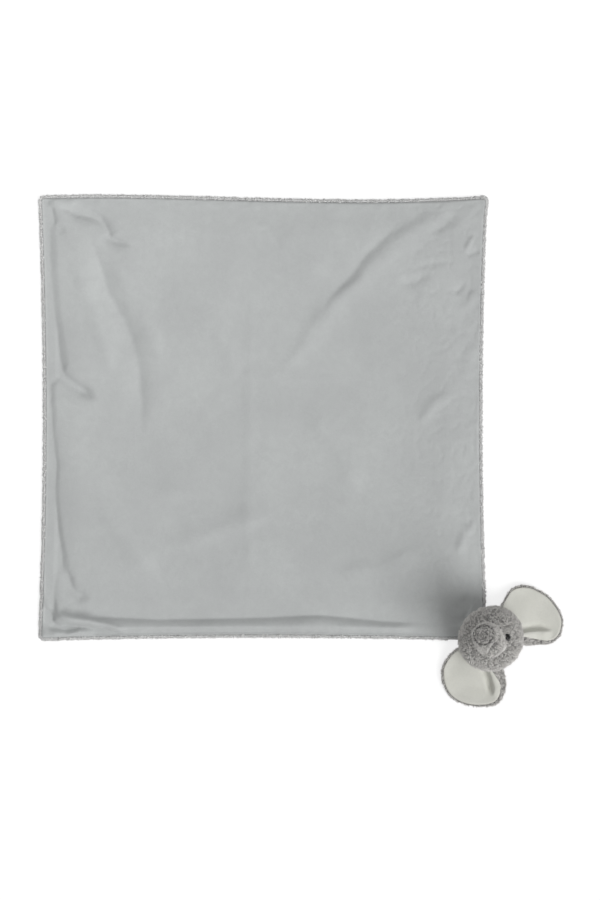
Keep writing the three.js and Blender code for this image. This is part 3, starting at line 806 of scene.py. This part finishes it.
def blanket_plan(u, v, inset):
    """Places in the blanket's plan, from -1 to 1 each way, with bowed sides and round corners."""
    half_x = half_width - inset
    half_y = half_height - inset
    bow_x = np.where(u > 0, bow_right, bow_left) * (1 - v ** 2)
    bow_y = np.where(v > 0, bow_top + bow_top_skew * u, bow_bottom) * (1 - u ** 2)
    x = u * (half_x - bow_x) + corner_flare * np.clip(u, 0, 1) ** 3 * np.clip(v, 0, 1) ** 16
    y = v * (half_y - bow_y)
    radius = max(corner_round - inset, 2 * mm)
    dx = np.maximum(np.abs(u) * half_x - half_x + radius, 0)
    dy = np.maximum(np.abs(v) * half_y - half_y + radius, 0)
    away = np.maximum(np.hypot(dx, dy), 1e-9)
    drawn = np.maximum(dx, dy) / away
    x -= np.sign(u) * dx * (1 - drawn)
    y -= np.sign(v) * dy * (1 - drawn)
    return drawn_under_chin(blanket_x + x, blanket_y + y, inset)


# Along the head's line: where the corner's cloth starts to be drawn in, where it then ends, and
# where its point would lie
tuck_start = fold_along - 6 * mm
tuck_end = fold_along + 11.5 * mm
corner_along = np.array((blanket_x + half_width, blanket_y - half_height, 0)) @ crown - head_along


def drawn_under_chin(x, y, inset):
    """Draws the corner back to the gather under the chin, where the head is sewn on."""
    along = raised(x, y) @ crown - head_along
    across = raised(x, y) @ side - head_across
    farthest = corner_along - math.sqrt(2) * inset - np.abs(across)
    end = tuck_end + chin_reach * smooth((np.abs(across) - chin_half) / chin_slope)
    drawn = (end - tuck_start) / np.maximum(farthest - tuck_start, mm)
    squeeze = np.where(farthest > end, drawn, 1)
    moved = np.where(along > tuck_start, tuck_start + (along - tuck_start) * squeeze, along)
    shift = moved - along
    return x + shift * crown[0], y + shift * crown[1]


def edge_distance(u, v):
    """Distance in from the blanket's nearest side."""
    return np.minimum((1 - np.abs(u)) * half_width, (1 - np.abs(v)) * half_height)


def blanket_grid(count):
    """Grid places, crowded to the sides, where the puffed border is."""
    run = np.linspace(-1, 1, count)
    run = (1 + crowding) * run - crowding * run ** 3
    return np.meshgrid(run, run, indexing="ij")


def border_relief(points, depth):
    """The puffed border, the low strip at the left, and the low strip with its roll at the
    bottom."""
    x, y = points[..., 0], points[..., 1]
    upper_left = smooth(y / (90 * mm) + 3.2)
    low = left_drop * upper_left * (1 - smooth(beyond(left_line, y, x + 13 * mm, left_step)))
    along_bottom = smooth(x / (60 * mm) + 5.6)
    low += bottom_drop * smooth(-y / (110 * mm) - 1.8) * along_bottom
    form = smooth(depth / roll_width) * smooth(4.4 - x / (60 * mm)) * along_bottom
    form *= 1 - beyond(bottom_line, x, y + 11 * mm, roll_width) ** 2
    roll = (roll_rise + 1.2 * mm * lumps(points, 60 * mm, 14)) * form
    puffed = 0.1 + 0.3 * smooth(-x / (60 * mm) - 4) + 0.4 * smooth(-y / (60 * mm) - 4)
    puffed *= hill(depth - 9 * mm, puff_width)
    puff = (puff_rise + 1.4 * mm * lumps(points, 60 * mm, 4)) * puffed
    return roll + (puff - low) * smooth(depth / (5 * mm))


def chance_folds(points):
    """The folds, whose routes wander a little and whose strength varies along them."""
    drift = 3 * mm * lumps(points, 55 * mm, 10) + 1.5 * mm * lumps(points, 22 * mm, 11)
    plan = points[..., :2] + drift[..., None] * np.array((1, -1))
    strength = 1 + 0.35 * lumps(points, 42 * mm, 12)
    return strength * sum(fold_relief(plan, *fold) for fold in folds)


def rumples(points):
    """Depth of the small valleys, most of them at the right side."""
    rumple = np.abs(lumps(points, 27 * mm, 7)) + 0.5 * np.abs(lumps(points, 12 * mm, 8))
    rumpled = 0.4 * smooth(1.4 * lumps(points, 130 * mm, 13) + 0.5)
    rumpled += smooth(points[..., 0] / (150 * mm) - 1)
    return 2.4 * mm * np.clip(0.3 - rumple, 0, None) * rumpled


def front_height(points, depth):
    """Height of the velour: its seam, borders, folds and soft waviness, lower beside the head."""
    height = front_edge + (front_level - front_edge) * smooth(depth / (60 * mm))
    height -= seam_dip * (1 - smooth(depth / (2 * mm)))
    waves = 1.8 * mm * lumps(points, 95 * mm, 1) + 0.6 * mm * lumps(points, 38 * mm, 2)
    relief = chance_folds(points) + waves - rumples(points)
    height += border_relief(points, depth) + relief * smooth(depth / (5 * mm))
    by_head = smooth((points @ crown - head_along - fold_along) / (70 * mm) + 1)
    height -= 0.75 * by_head * np.clip(height - 8 * mm, 0, None)
    pucker = lumps(points, 12 * mm, 3) * np.exp(-depth / (14 * mm))
    return height + 1.3 * mm * pucker * smooth(depth / (4 * mm))


def blanket_front(material):
    """The velour: its face, and an underside that leaves room for the seam allowance."""
    u, v = blanket_grid(281)
    x, y = blanket_plan(u, v, rim_width - 0.4 * mm)
    points = raised(x, y)
    depth = edge_distance(u, v)
    low = hem_room + (front_bottom - hem_room) * smooth((depth - hem_width) / (9 * mm))
    least = low + 0.8 * mm * smooth(depth / (3 * mm))
    above = front_height(points, depth) - least
    height = least + 0.5 * (above + np.sqrt(above ** 2 + (0.9 * mm) ** 2))
    bottom = raised(x, y, np.minimum(low, height - 0.5 * mm))[::2, ::2]
    piece = cloth_pair("velour_front", raised(x, y, height), bottom)
    dye(piece, material)
    # Painted shade along the seam's crease, in patches, and only right of the given x.
    seam_shade_share = np.clip(0.15 + 1.2 * lumps(points, 12 * mm, 9), 0, 0.8) * (x > seam_shade_from)
    dark = seam_shade_share * hill(depth, 1.1 * mm)
    give(piece, "seam", dark, dark[::2, ::2])
    return piece


def blanket_back(material):
    """The sherpa: a nubbly underside, and a rounded rim that stands up outside the seam."""
    u, v = blanket_grid(221)
    depth = edge_distance(u, v)
    x, y = blanket_plan(u, v, 0.0)
    points = raised(x, y)
    rim = np.clip(depth / rim_width, 0, 1)
    rise = np.where(rim < 0.5, np.sqrt(np.clip(1 - (2 * rim - 1) ** 2, 0, 1)), 1)
    height = np.where(depth < rim_width * 0.99, rim_low + rim_rise * rise, back_top)
    height = np.where(depth < 0.1 * mm, back_edge, height)
    height += 0.6 * mm * lumps(points, 8 * mm, 5) * (depth < rim_width)
    nubs = np.clip(np.abs(lumps(points, 6.5 * mm, 6)) * 1.8 * mm, 0, 1.4 * mm)
    underside = raised(x, y, nubs * smooth(depth / (6 * mm)))
    piece = closed_shell("sherpa_back", raised(x, y, height), underside)
    dye(piece, material)
    under_head = points @ crown - head_along > fold_along + 5 * mm
    grows = (depth < rim_width * 0.95) & ~under_head
    give(piece, "cover", grows, np.zeros(grows.size))
    outward = 1.2 * raised(u ** 9, v ** 9) * np.clip(1 - depth / (2.6 * mm), -0.8, 1)[..., None]
    comb_pile(piece, outward, outward)
    return piece


def bend_at_fold(piece):
    """Bakes a piece's placing into its mesh; nothing is bent along the fold line."""
    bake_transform(piece)


def neck_gather(material):
    """The corner's cloth drawn into pleats and tucked into the head."""
    count, rows = 96, 18
    turn = turns(count)[:, None]
    share = np.linspace(0, 1, rows)[None, :]
    eased = smooth(share * 1.25)
    along = gather_start + gather_length * share + 0 * turn
    wide = gather_half - gather_drawn * eased
    tall = gather_thick + gather_rise * eased
    middle = gather_middle + gather_rise * eased
    pleat = 1 - 0.09 * np.abs(np.sin(7 * turn)) * (1 - 0.3 * share)
    across = wide * pleat * np.cos(turn)
    height = middle + tall * pleat * np.sin(turn)
    outer = head_frame(along, across, height)
    inner = head_frame(along, across * 0.7, middle + (height - middle) * 0.7)
    piece = closed_shell("gathered_neck", outer, inner, wrap=True)
    dye(piece, material)
    # No painted seam shade on the gathered cloth.
    give(piece, "seam", np.zeros(len(piece.data.vertices)))
    return piece


def dress_blanket(velour_cloth, sherpa_cloth, sherpa_tufts):
    front = blanket_front(velour_cloth)
    back = blanket_back(sherpa_cloth)
    rim = grow_pile("sherpa_rim_pile", back, sherpa_tufts, seed=3, **rim_pile)
    for piece in (front, back, rim):
        bend_at_fold(piece)
    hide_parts("blanket_front", "corner_front")
    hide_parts("blanket_back", "corner_back")
    gather = neck_gather(velour_cloth)
    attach(gather, "neck")
    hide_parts("neck_gather")


# Head


def head_surface(turn, reach, grow):
    """Points of the head. turn goes round the line through the ears, from the top to the crown,
    and reach goes from the middle to the right ear."""
    along = (head_long + grow) * np.cos(reach) * np.sin(turn)
    across = (head_wide + grow) * np.sin(reach)
    height = head_height + (head_tall + grow) * np.cos(reach) * np.cos(turn)
    return head_frame(along, across, np.maximum(height, lowest_cloth))


def plush_relief(turn, reach, seed):
    """Softness of the stuffed head: broad swells and small lumps."""
    points = head_surface(turn, reach, 0)
    return (0.9 * lumps(points, 26 * mm, seed) + 0.5 * lumps(points, 10 * mm, seed + 1)) * mm


def head_panel(name, turn, reach, seam_distance, wrap, pole, seed):
    """One panel of the head, drawn in along its seams."""
    grow = plush_relief(turn, reach, seed) - seam_depth * hill(seam_distance, seam_width)
    outer = head_surface(turn, reach, grow)
    inner = head_surface(turn, reach, -panel_thickness)
    inner[..., 2] = np.maximum(inner[..., 2], lowest_cloth + panel_thickness)
    return closed_shell(name, outer, inner, wrap=wrap, pole=pole)


def side_panel(name, way, seed):
    """The cheek on one side: from the middle panels to the ear's line."""
    start = math.asin((gusset_half + 0.2 * mm) / head_wide)
    turn, share = np.meshgrid(turns(120), np.linspace(0, 1, 44), indexing="ij")
    reach = start + (math.pi / 2 - start) * share ** 1.1
    distance = (reach - start) * head_wide
    return head_panel(name, turn, way * reach, distance, True, True, seed)


def middle_panel(name, turn_from, turn_to, seed):
    """A narrow panel between the cheeks, over the forehead or the throat."""
    half = math.asin((gusset_half - 0.2 * mm) / head_wide)
    turn, reach = np.meshgrid(np.linspace(turn_from, turn_to, 100), np.linspace(-half, half, 25),
                              indexing="ij")
    sideways = (half - np.abs(reach)) * head_wide
    endways = np.minimum(np.abs(turn - turn_from), np.abs(turn - turn_to)) * head_tall
    return head_panel(name, turn, reach, np.minimum(sideways, endways), False, False, seed)


def cut_ball(piece, centre, radius):
    """Opens a piece where a ball sits in it."""
    levels = np.linspace(-math.pi / 2, math.pi / 2, 26)
    profile = [(radius * math.cos(level), radius * math.sin(level)) for level in levels]
    ball = turned_piece("ball_cutter", centre, up, np.array((1.0, 0, 0)), profile)
    cut = piece.modifiers.new("cut", "BOOLEAN")
    cut.operation = "DIFFERENCE"
    cut.solver = "EXACT"
    cut.object = ball
    mesh = finished_mesh(piece)
    piece.modifiers.remove(cut)
    bpy.data.objects.remove(ball)
    piece.data = mesh


def eye_places():
    """Middle and outward direction of each eye, from the frame's own eyes."""
    found = []
    for node in ("eye_right", "eye_left"):
        points = corners(node)
        centre = points.mean(0)
        scaled = sum((centre - head_middle) @ axis / half ** 2 * axis for axis, half in head_axes)
        normal = scaled / np.linalg.norm(scaled)
        out = points @ normal
        on_rim = points[out > out.max() - 3.2 * mm]
        inward = -np.sign((centre - head_frame(0, 0, 0)) @ side) * eye_inward * side
        found.append((on_rim.mean(0) + inward, normal, out.max() + inward @ normal))
    return found


def out_of_head(points, inset):
    """1 on the head's rounded form set in by inset, more outside it."""
    from_middle = points - head_middle
    return sum((from_middle @ axis / (half - inset)) ** 2 for axis, half in head_axes)


def head_cover(piece, eyes):
    """Where the head's pile grows: outside, but not over the eyes or under the trunk."""
    points = places(piece)
    cover = np.ones(len(points))
    for way, (centre, _normal, _out) in zip((1, -1), eyes):
        away = points - centre
        narrow = away @ (crown + way * side) / math.sqrt(2)
        tall = np.sqrt(np.clip(np.sum(away ** 2, axis=1) - narrow ** 2, 0, None))
        cover *= np.hypot(narrow / eye_bare_half, tall / eye_bare_tall) > 1
    cover *= smooth((np.linalg.norm(points - trunk_root, axis=1) - trunk_ball - 0.5 * mm) / mm)
    cover *= (out_of_head(points, 1.6 * mm) > 0.985) | (points[:, 2] < 1.5 * mm)
    give(piece, "cover", cover)
    level = (points - head_middle) * np.array((1, 1, 0))
    level /= np.maximum(np.linalg.norm(level, axis=1), mm)[:, None]
    pressed = smooth(1 - points[:, 2] / (9 * mm))[:, None]
    comb_pile(piece, 0.2 * crown + 2.4 * pressed * level)


def dress_eye(name, node, place, material):
    """A polished dome on its rim, with the stem below it."""
    centre, normal, out = place
    sideways = np.cross(normal, up)
    sideways /= np.linalg.norm(sideways)
    base = centre + normal * (out - centre @ normal - eye_depth)
    dome = [(eye_radius * math.cos(a), eye_foot + eye_rise * math.sin(a))
            for a in np.linspace(0.05, 1.5, 12)]
    profile = np.array([*eye_stem, *dome, (0, eye_foot + eye_rise)]) * mm
    piece = turned_piece(name, base, normal, sideways, profile)
    dye(piece, material)
    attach(piece, "head")
    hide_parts(node)


def dress_head(backing_cloth, plush_tufts, black):
    eyes = eye_places()
    middle = middle_seam / head_long
    panels = {
        "head_side_right": side_panel("right_cheek", 1, 11),
        "head_side_left": side_panel("left_cheek", -1, 21),
        "forehead_gusset": middle_panel("forehead_panel", middle + middle_gap, panel_end, 31),
        "throat_gusset": middle_panel("throat_panel", middle - middle_gap, -panel_end, 41),
    }
    for seed, (node, piece) in enumerate(panels.items()):
        cut_ball(piece, trunk_root, trunk_ball + 0.3 * mm)
        dye(piece, backing_cloth)
        head_cover(piece, eyes)
        tufted = grow_pile(piece.name + "_pile", piece, plush_tufts, seed=10 + seed,
                           **head_pile)
        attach(piece, "head")
        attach(tufted, "head")
        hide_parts(node)
    for (node, name), place in zip((("eye_right", "right_eye"), ("eye_left", "left_eye")), eyes):
        dress_eye(name, node, place, black)


# Trunk

trunk_side = np.cross(trunk_line, crown)
trunk_side /= np.linalg.norm(trunk_side)
trunk_back = np.cross(trunk_side, trunk_line)


def crease_height(turn):
    """Where the trunk's back is creased: under its end, and lower down towards the left."""
    return trunk_neck + crease_above_neck - crease_fall * smooth((-turn - 0.25) / 0.85)


def trunk_radius(height, turn):
    """Radius of the trunk: a narrow root, a swelling, a creased back, and a tapered end."""
    grown = np.sin(np.clip(height / trunk_neck, 0, 1) * math.pi / 2)
    share = np.clip((height - trunk_neck) / (trunk_end - trunk_neck), 0, 1)
    taper = (trunk_swell - trunk_end_radius) * share ** 1.7
    radius = trunk_ball + (trunk_swell - trunk_ball) * grown - taper
    below = np.sqrt(np.clip(trunk_ball ** 2 - np.minimum(height, 0) ** 2, 0, None))
    radius = np.where(height < 0, below, radius)
    turn = (turn + math.pi) % (2 * math.pi) - math.pi
    held = smooth((turn + 1.5) / 0.5) * (1 - smooth((turn - 0.15) / 0.5))
    level = crease_height(turn)
    crease = crease_depth * hill(height - level, crease_width)
    lobe = lobe_rise * hill(height - level + lobe_below, lobe_width) * smooth(height / (9 * mm))
    right = smooth((turn - 0.15) / 0.7) * (1 - smooth((turn - 2.0) / 0.7))
    slim = slim_depth * right * (1 - smooth((height - trunk_neck) / (14 * mm)))
    return radius + (lobe - crease) * held - slim * smooth(height / (6 * mm))


def trunk_place(height, radius, turn):
    """Points round the trunk's line. turn starts at the crown and goes to the right ear."""
    out = np.cos(turn)[..., None] * trunk_back + np.sin(turn)[..., None] * trunk_side
    return trunk_root + height[..., None] * trunk_line + radius[..., None] * out


def trunk_grid(low, high, rows):
    """Turns and heights of a grid round the trunk."""
    return np.meshgrid(turns(120), np.linspace(low, high, rows), indexing="ij")


def trunk_cover():
    """The sewn tube, with a round foot in the head and its top edge turned in to the disc."""
    lip = 2.4 * mm
    turn, height = trunk_grid(trunk_foot, trunk_end + lip, 76)
    turned_in = np.clip((height - trunk_end + 0.6 * mm) / lip, 0, 1)
    level = np.minimum(height, trunk_end) + 0.5 * mm * np.sin(turned_in * math.pi)
    radius = trunk_radius(level, turn)
    radius = radius - (trunk_end_radius - disc_radius + 0.6 * mm) * turned_in ** 1.5
    points = trunk_place(level, radius, turn)
    rough = (0.8 * lumps(points, 17 * mm, 51) + 0.5 * lumps(points, 8 * mm, 52)) * mm
    free = smooth(level / (8 * mm)) * (1 - turned_in)
    outer = trunk_place(level - 1.2 * mm * turned_in ** 3, radius + rough * free, turn)
    inner = trunk_place(level - 1.8 * mm * turned_in, radius - trunk_wall, turn)
    return closed_shell("trunk_cover", outer, inner, wrap=True)


def trunk_filling():
    """The fibre that fills the trunk, from its foot to under its end."""
    turn, height = trunk_grid(trunk_foot, trunk_end - 2.2 * mm, 50)
    radius = trunk_radius(height, turn) - trunk_wall - 0.5 * mm
    closing = np.clip((height - trunk_end + 6 * mm) / (3.8 * mm), 0, 1)
    outer = trunk_place(height, radius - 3 * mm * closing ** 2, turn)
    inner = trunk_place(height, 0.3 * radius, turn)
    return closed_shell("trunk_filling", outer, inner, wrap=True)


def tip_disc():
    """The round end of the trunk: a low cushion with rings in its pile."""
    turn, share = np.meshgrid(turns(96), np.linspace(1, 0, 40), indexing="ij")
    radius = share * (disc_radius - 0.2 * mm)
    rings = np.cos(2 * math.pi * radius / (4.8 * mm)) * 1.0 * mm * (1 - share ** 8)
    dome = 3.0 * mm * np.sqrt(np.clip(1 - share ** 2, 0, 1)) - 0.9 * mm
    top = trunk_place(trunk_end + dome + rings, radius, turn)
    bottom = trunk_place(np.full_like(share, trunk_end - 2 * mm), radius * 0.96, turn)
    return closed_shell("trunk_tip", top, bottom, wrap=True, pole=True)


def comb_trunk(piece):
    """Lays the trunk's pile outward and along to its end; returns height and distance out."""
    from_root = places(piece) - trunk_root
    height = from_root @ trunk_line
    out = from_root - height[:, None] * trunk_line
    distance = np.linalg.norm(out, axis=1)
    comb_pile(piece, 0.35 * trunk_line + 0.5 * out / np.maximum(distance, mm)[:, None])
    return height, distance


def dress_trunk(backing_cloth, plush_tufts, fill):
    """The trunk's cover, with no pile in its crease or inside the head, and its filling."""
    cover = trunk_cover()
    dye(cover, backing_cloth)
    height, distance = comb_trunk(cover)
    outside = np.arange(len(height)) < len(height) // 2
    at_disc = (height > trunk_end - 4 * mm) & (distance < disc_radius + 0.6 * mm)
    in_crease = (height > crease_low) & (height < trunk_end - 2 * mm) & (distance < crease_bare)
    grows = outside & (out_of_head(places(cover), 0) > 1.03) & ~at_disc & ~in_crease
    give(cover, "cover", grows)
    tufted = grow_pile("trunk_pile", cover, plush_tufts, seed=21, **trunk_pile)
    filling = trunk_filling()
    dye(filling, fill)
    for piece in (cover, tufted, filling):
        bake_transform(piece)
    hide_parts("trunk_base_cover", "trunk_end_cover")
    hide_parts("trunk_base_stuffing", "trunk_end_stuffing")


def dress_trunk_end(backing_cloth, plush_tufts):
    """The disc that closes the trunk, with shorter pile."""
    disc = tip_disc()
    dye(disc, backing_cloth)
    height, distance = comb_trunk(disc)
    top = (height > trunk_end - 0.2 * mm) & (distance < disc_radius - 0.8 * mm)
    give(disc, "cover", top)
    disc_pile = grow_pile("trunk_tip_pile", disc, plush_tufts, seed=22, **tip_pile)
    for piece in (disc, disc_pile):
        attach(piece, "trunk_end")
    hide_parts("trunk_tip_disc")


# Ears

# Each ear in millimetres, to the crown and out from the head's middle: the outline of its cloth,
# the crest of the pleat near its crown side and the depth of the valley before it, the slope up
# to the crown side, and how far the seam lies in along the outline
ears = {
    "right": {
        "way": 1,
        "outline": ((-19, 42), (-21.5, 52), (-25, 70), (-24.5, 80), (-19, 90), (-8, 100), (8, 106),
                    (24, 109), (40, 107.5), (54, 104), (66, 97.5), (75.5, 85), (79, 73), (76, 61),
                    (66, 49), (50, 32)),
        "crest": ((33, 43), (48, 60), (61, 71), (68, 76)),
        "valley": 3.0,
        "tilt": 0.0,
        "seam": ((0, 1.4), (0.62, 1.6), (0.76, 2.4), (0.86, 4.5), (0.93, 8), (1, 12.5)),
    },
    "left": {
        "way": -1,
        "outline": ((-20, 42), (-22, 54), (-20.5, 68), (-15, 85), (-5, 96), (8, 104), (22, 107.5),
                    (36, 106), (50, 100), (64, 90), (76, 77.5), (82, 67), (83, 57), (79, 46),
                    (70, 34), (50, 21)),
        "crest": ((36, 38), (49, 43), (62, 51), (73, 63)),
        "valley": 5.0,
        "tilt": 0.07,
        "seam": ((0, 1.4), (0.55, 1.6), (0.68, 3), (0.8, 5.5), (0.92, 9), (1, 16)),
    },
}


def ear_plan(edge, last_turn):
    """Places in an ear's plan, from the head's surface out to the given edge."""
    turn = np.linspace(math.radians(-25), math.radians(last_turn), len(edge))
    root = np.stack([np.sin(turn) * (head_long - ear_inside),
                     np.cos(turn) * (head_wide - ear_inside)], 1)
    return root[:, None] + (edge - root)[:, None] * ear_share[..., None]


def ear_top(plan, form, edge, crest):
    """Height of an ear's upper face: down from the head to the floor, a pleat, a raised rim."""
    reach = np.hypot(plan[..., 0] / head_long, plan[..., 1] / head_wide) * head_wide - head_wide
    fall = ear_height * (1 - np.clip((reach + 6 * mm) / (42 * mm), 0, 1)) ** 1.6
    over, along = line_distance(plan, crest)
    held = (1 - smooth((along - 0.62) / 0.38)) * smooth((reach + 8 * mm) / (6 * mm))
    tall = pleat_rise * smooth((over + 3.6 * mm) / (4.4 * mm))
    rolled = tall * (1 - 0.45 * smooth((over - 3 * mm) / (14 * mm)))
    valley = form["valley"] * mm * hill(over + 5 * mm, 5 * mm)
    rim = ear_rim_rise * hill(line_distance(plan, edge)[0], 9 * mm)
    soft = 0.8 * mm * lumps(head_frame(plan[..., 0], plan[..., 1], 0 * reach), 26 * mm, 61)
    tilt = form["tilt"] * np.clip(plan[..., 0], 0, None) * smooth(reach / (20 * mm))
    return ear_back_thick + 1.5 * mm + fall + held * (rolled - valley) + rim + soft + tilt


def ear_points(way, plan, height):
    return head_frame(plan[..., 0], way * plan[..., 1], np.maximum(height, ear_lowest))


def ear_back(word, form, edge, crest, material):
    """The plush back, rounded at its edge, with the places and the lie of its pile."""
    way = form["way"]
    plan = ear_plan(edge, 60)
    top = ear_top(plan, form, edge, crest)
    half = 0.5 * ear_back_thick * rounded(ear_share, 0.96)
    upper = ear_points(way, plan, top - 0.5 * ear_back_thick + half)
    lower = ear_points(way, plan, top - 0.5 * ear_back_thick - half)
    piece = closed_shell(word + "_ear_back", upper, lower)
    dye(piece, material)
    outward = plan[:, -1] - plan[:, 0]
    outward /= np.linalg.norm(outward, axis=1, keepdims=True)
    level = outward[:, :1] * crown + way * outward[:, 1:] * side
    combed = np.repeat(level[:, None], ear_rows, axis=1)
    comb_pile(piece, 1.2 * combed, 2.4 * combed)
    return piece, plan


def ear_front(word, form, edge, crest, material):
    """The velour front, sewn inside the plush rim and puffed a little over its back, with painted
    shade along its seam.
    """
    way = form["way"]
    inset = np.interp(np.linspace(0, 1, len(edge)), *zip(*form["seam"])) * mm
    step = np.gradient(edge, axis=0)
    normal = np.stack([-step[:, 1], step[:, 0]], 1)
    normal /= np.linalg.norm(normal, axis=1, keepdims=True)
    middle = edge.mean(0)
    normal *= np.sign(np.sum((middle - edge) * normal, axis=1, keepdims=True))
    plan = ear_plan(edge + normal * inset[:, None], 40)
    base = ear_top(plan, form, edge, crest)
    puff = ear_front_thick * rounded(ear_share, 0.94)
    upper = ear_points(way, plan, base + puff + 0.7 * mm)
    piece = closed_shell(word + "_ear_front", upper, ear_points(way, plan, base + 0.3 * mm))
    dye(piece, material)
    length = np.linalg.norm(plan[:, -1] - plan[:, 0], axis=1)[:, None]
    # Painted shade along the seam at the front's edge.
    dark = hill((1 - ear_share) * length, 1.2 * mm)
    give(piece, "seam", dark, dark)
    return piece, plan


def bend_at_root(piece, word):
    """Finds the ear's hinge but does not bend the cloth; bakes the piece's placing into its mesh.
    """
    joint = joints["ear_" + word + "_fold"]
    hinge, line = np.array(joint["pos_m"]), np.array(joint["axis"])
    away = hinge - head_frame(0, 0, hinge[2])
    away = away - (away @ line) * line
    away /= np.linalg.norm(away)
    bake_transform(piece)


def dress_ear(word, velour_cloth, backing_cloth, plush_tufts):
    """One ear: a plush back, its pile, and a velour front sewn just inside the rim."""
    form = ears[word]
    edge = curve_points(np.array(form["outline"]) * mm, 150)
    crest = curve_points(np.array(form["crest"]) * mm, 12)
    back, plan = ear_back(word, form, edge, crest, backing_cloth)
    front, front_plan = ear_front(word, form, edge, crest, velour_cloth)
    outside = line_distance(plan, front_plan[:, -1])[0]
    outside *= -np.sign(outside[len(edge) // 2, ear_rows // 2])
    on_top = (outside > -0.3 * mm) & (ear_share > 0.3)
    below = np.broadcast_to(ear_share > 0.15, on_top.shape)
    give(back, "cover", on_top, below)
    tufted = grow_pile(word + "_ear_pile", back, plush_tufts, seed=31 + form["way"], **ear_pile)
    for piece in (back, front, tufted):
        bend_at_root(piece, word)
    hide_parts("ear_back_" + word, "ear_root_" + word)
    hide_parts("ear_front_" + word)


# Hidden pieces


def finish_inner_nodes(materials):
    """The pieces inside keep the frame's own shapes."""
    for node, material in materials.items():
        dye(frame["nodes"][node], material)


# Stage


def background_rays(tree):
    """1 for what the camera sees, also in gloss or through clear stuff; 0 for light on things."""
    rays = add_node(tree, "ShaderNodeLightPath").outputs
    shown = rays["Is Camera Ray"]
    for kind in ("Is Glossy Ray", "Is Transmission Ray"):
        shown = add_node(tree, "ShaderNodeMath", {0: shown, 1: rays[kind]}, operation="MAXIMUM")
    return shown


def white_world():
    """An even sky: plain light on the object, and white to the camera and in reflections."""
    scene.world = bpy.data.worlds.new("studio")
    scene.world.use_nodes = True
    tree = scene.world.node_tree
    levels = {"Value": background_rays(tree), "To Min": sky_strength, "To Max": 1.0}
    sky = tree.nodes["Background"].inputs
    sky["Color"].default_value = (1, 1, 1, 1)
    feed(tree, sky["Strength"], add_node(tree, "ShaderNodeMapRange", levels))


def white_floor():
    """A white floor that keeps the object's shadow."""
    points = [(x * floor_reach, y * floor_reach, floor_level)
              for x, y in ((-1, -1), (1, -1), (1, 1), (-1, 1))]
    mesh = bpy.data.meshes.new("floor")
    mesh.from_pydata(points, [], [(0, 1, 2, 3)])
    floor = add_object("floor", mesh)
    finish = Finish("white_floor", 1.0, specular=0.0)
    shown = background_rays(finish.tree)
    finish.colour(finish.grey(finish.stretch(shown, 0, 1, 0.8, 0.35)))
    finish.inputs["Emission Color"].default_value = (1, 1, 1, 1)
    glow = finish.stretch(shown, 0, 1, 0, 0.74)
    feed(finish.tree, finish.inputs["Emission Strength"], glow)
    dye(floor, finish.material)


def lamp(name, kind, place, energy, **settings):
    """A lamp at a place, which shines to the middle of the floor."""
    data = bpy.data.lights.new(name, kind)
    data.energy = energy
    for key, value in settings.items():
        setattr(data, key, value)
    light = add_object(name, data)
    light.location = place
    light.rotation_mode = "QUATERNION"
    light.rotation_quaternion = place.to_track_quat("Z", "Y")


def lamps():
    """A broad soft light from the lower right of the picture, and a large weak panel over its top
    left, where the cloth is a little lighter."""
    lamp("key", "SUN", key_place, key_strength, angle=key_angle)
    lamp("fill", "AREA", fill_place, fill_strength * math.pi * fill_place.length_squared,
         shape="SQUARE", size=fill_size)


def camera():
    """Straight above the middle of the picture."""
    data = bpy.data.cameras.new("camera")
    data.sensor_width = 36
    data.lens = data.sensor_width * camera_height / picture_length
    data.clip_end = 20
    scene.camera = add_object("camera", data)
    scene.camera.location = picture_middle + Vector((0, 0, camera_height))


def build():
    scene.view_settings.view_transform = "Standard"
    white_world()
    white_floor()
    lamps()
    camera()
    # The third colour of each velour is painted shade along its seam.
    blanket_cloth = velour("blanket_velour_cloth", seen(186, 189, 188), seen(171, 173, 173),
                           seen(132, 133, 133))
    sherpa_cloth = fleece("sherpa_cloth", seen(224, 224, 223), seen(190, 190, 190))
    # Each pile's first colour is its root, painted darker for the shade deep in the pile.
    sherpa_tufts = pile("sherpa_tufts", seen(206, 206, 205), seen(228, 228, 227),
                        seen(248, 248, 247))
    # The plush ground is painted dark for the shade down between the tufts.
    plush_ground = backing("plush_ground", seen(158, 157, 155), seen(104, 103, 102))
    plush_tufts = pile("plush_tufts", seen(184, 182, 180), seen(212, 210, 207),
                       seen(238, 236, 232))
    ear_cloth = velour("ear_velour_cloth", seen(216, 216, 209), seen(203, 203, 195),
                       seen(190, 189, 182))
    fill = fibre_fill()
    dress_blanket(blanket_cloth, sherpa_cloth, sherpa_tufts)
    dress_head(plush_ground, plush_tufts, eye_plastic())
    dress_trunk(plush_ground, plush_tufts, fill)
    dress_trunk_end(plush_ground, plush_tufts)
    for word in ears:
        dress_ear(word, ear_cloth, plush_ground, plush_tufts)
    washer = washer_plastic()
    finish_inner_nodes({
        "head_stuffing": fill,
        "trunk_root_stuffing": fill,
        "eye_washer_right": washer,
        "eye_washer_left": washer,
        "seam_allowance": blanket_cloth,
    })


build()
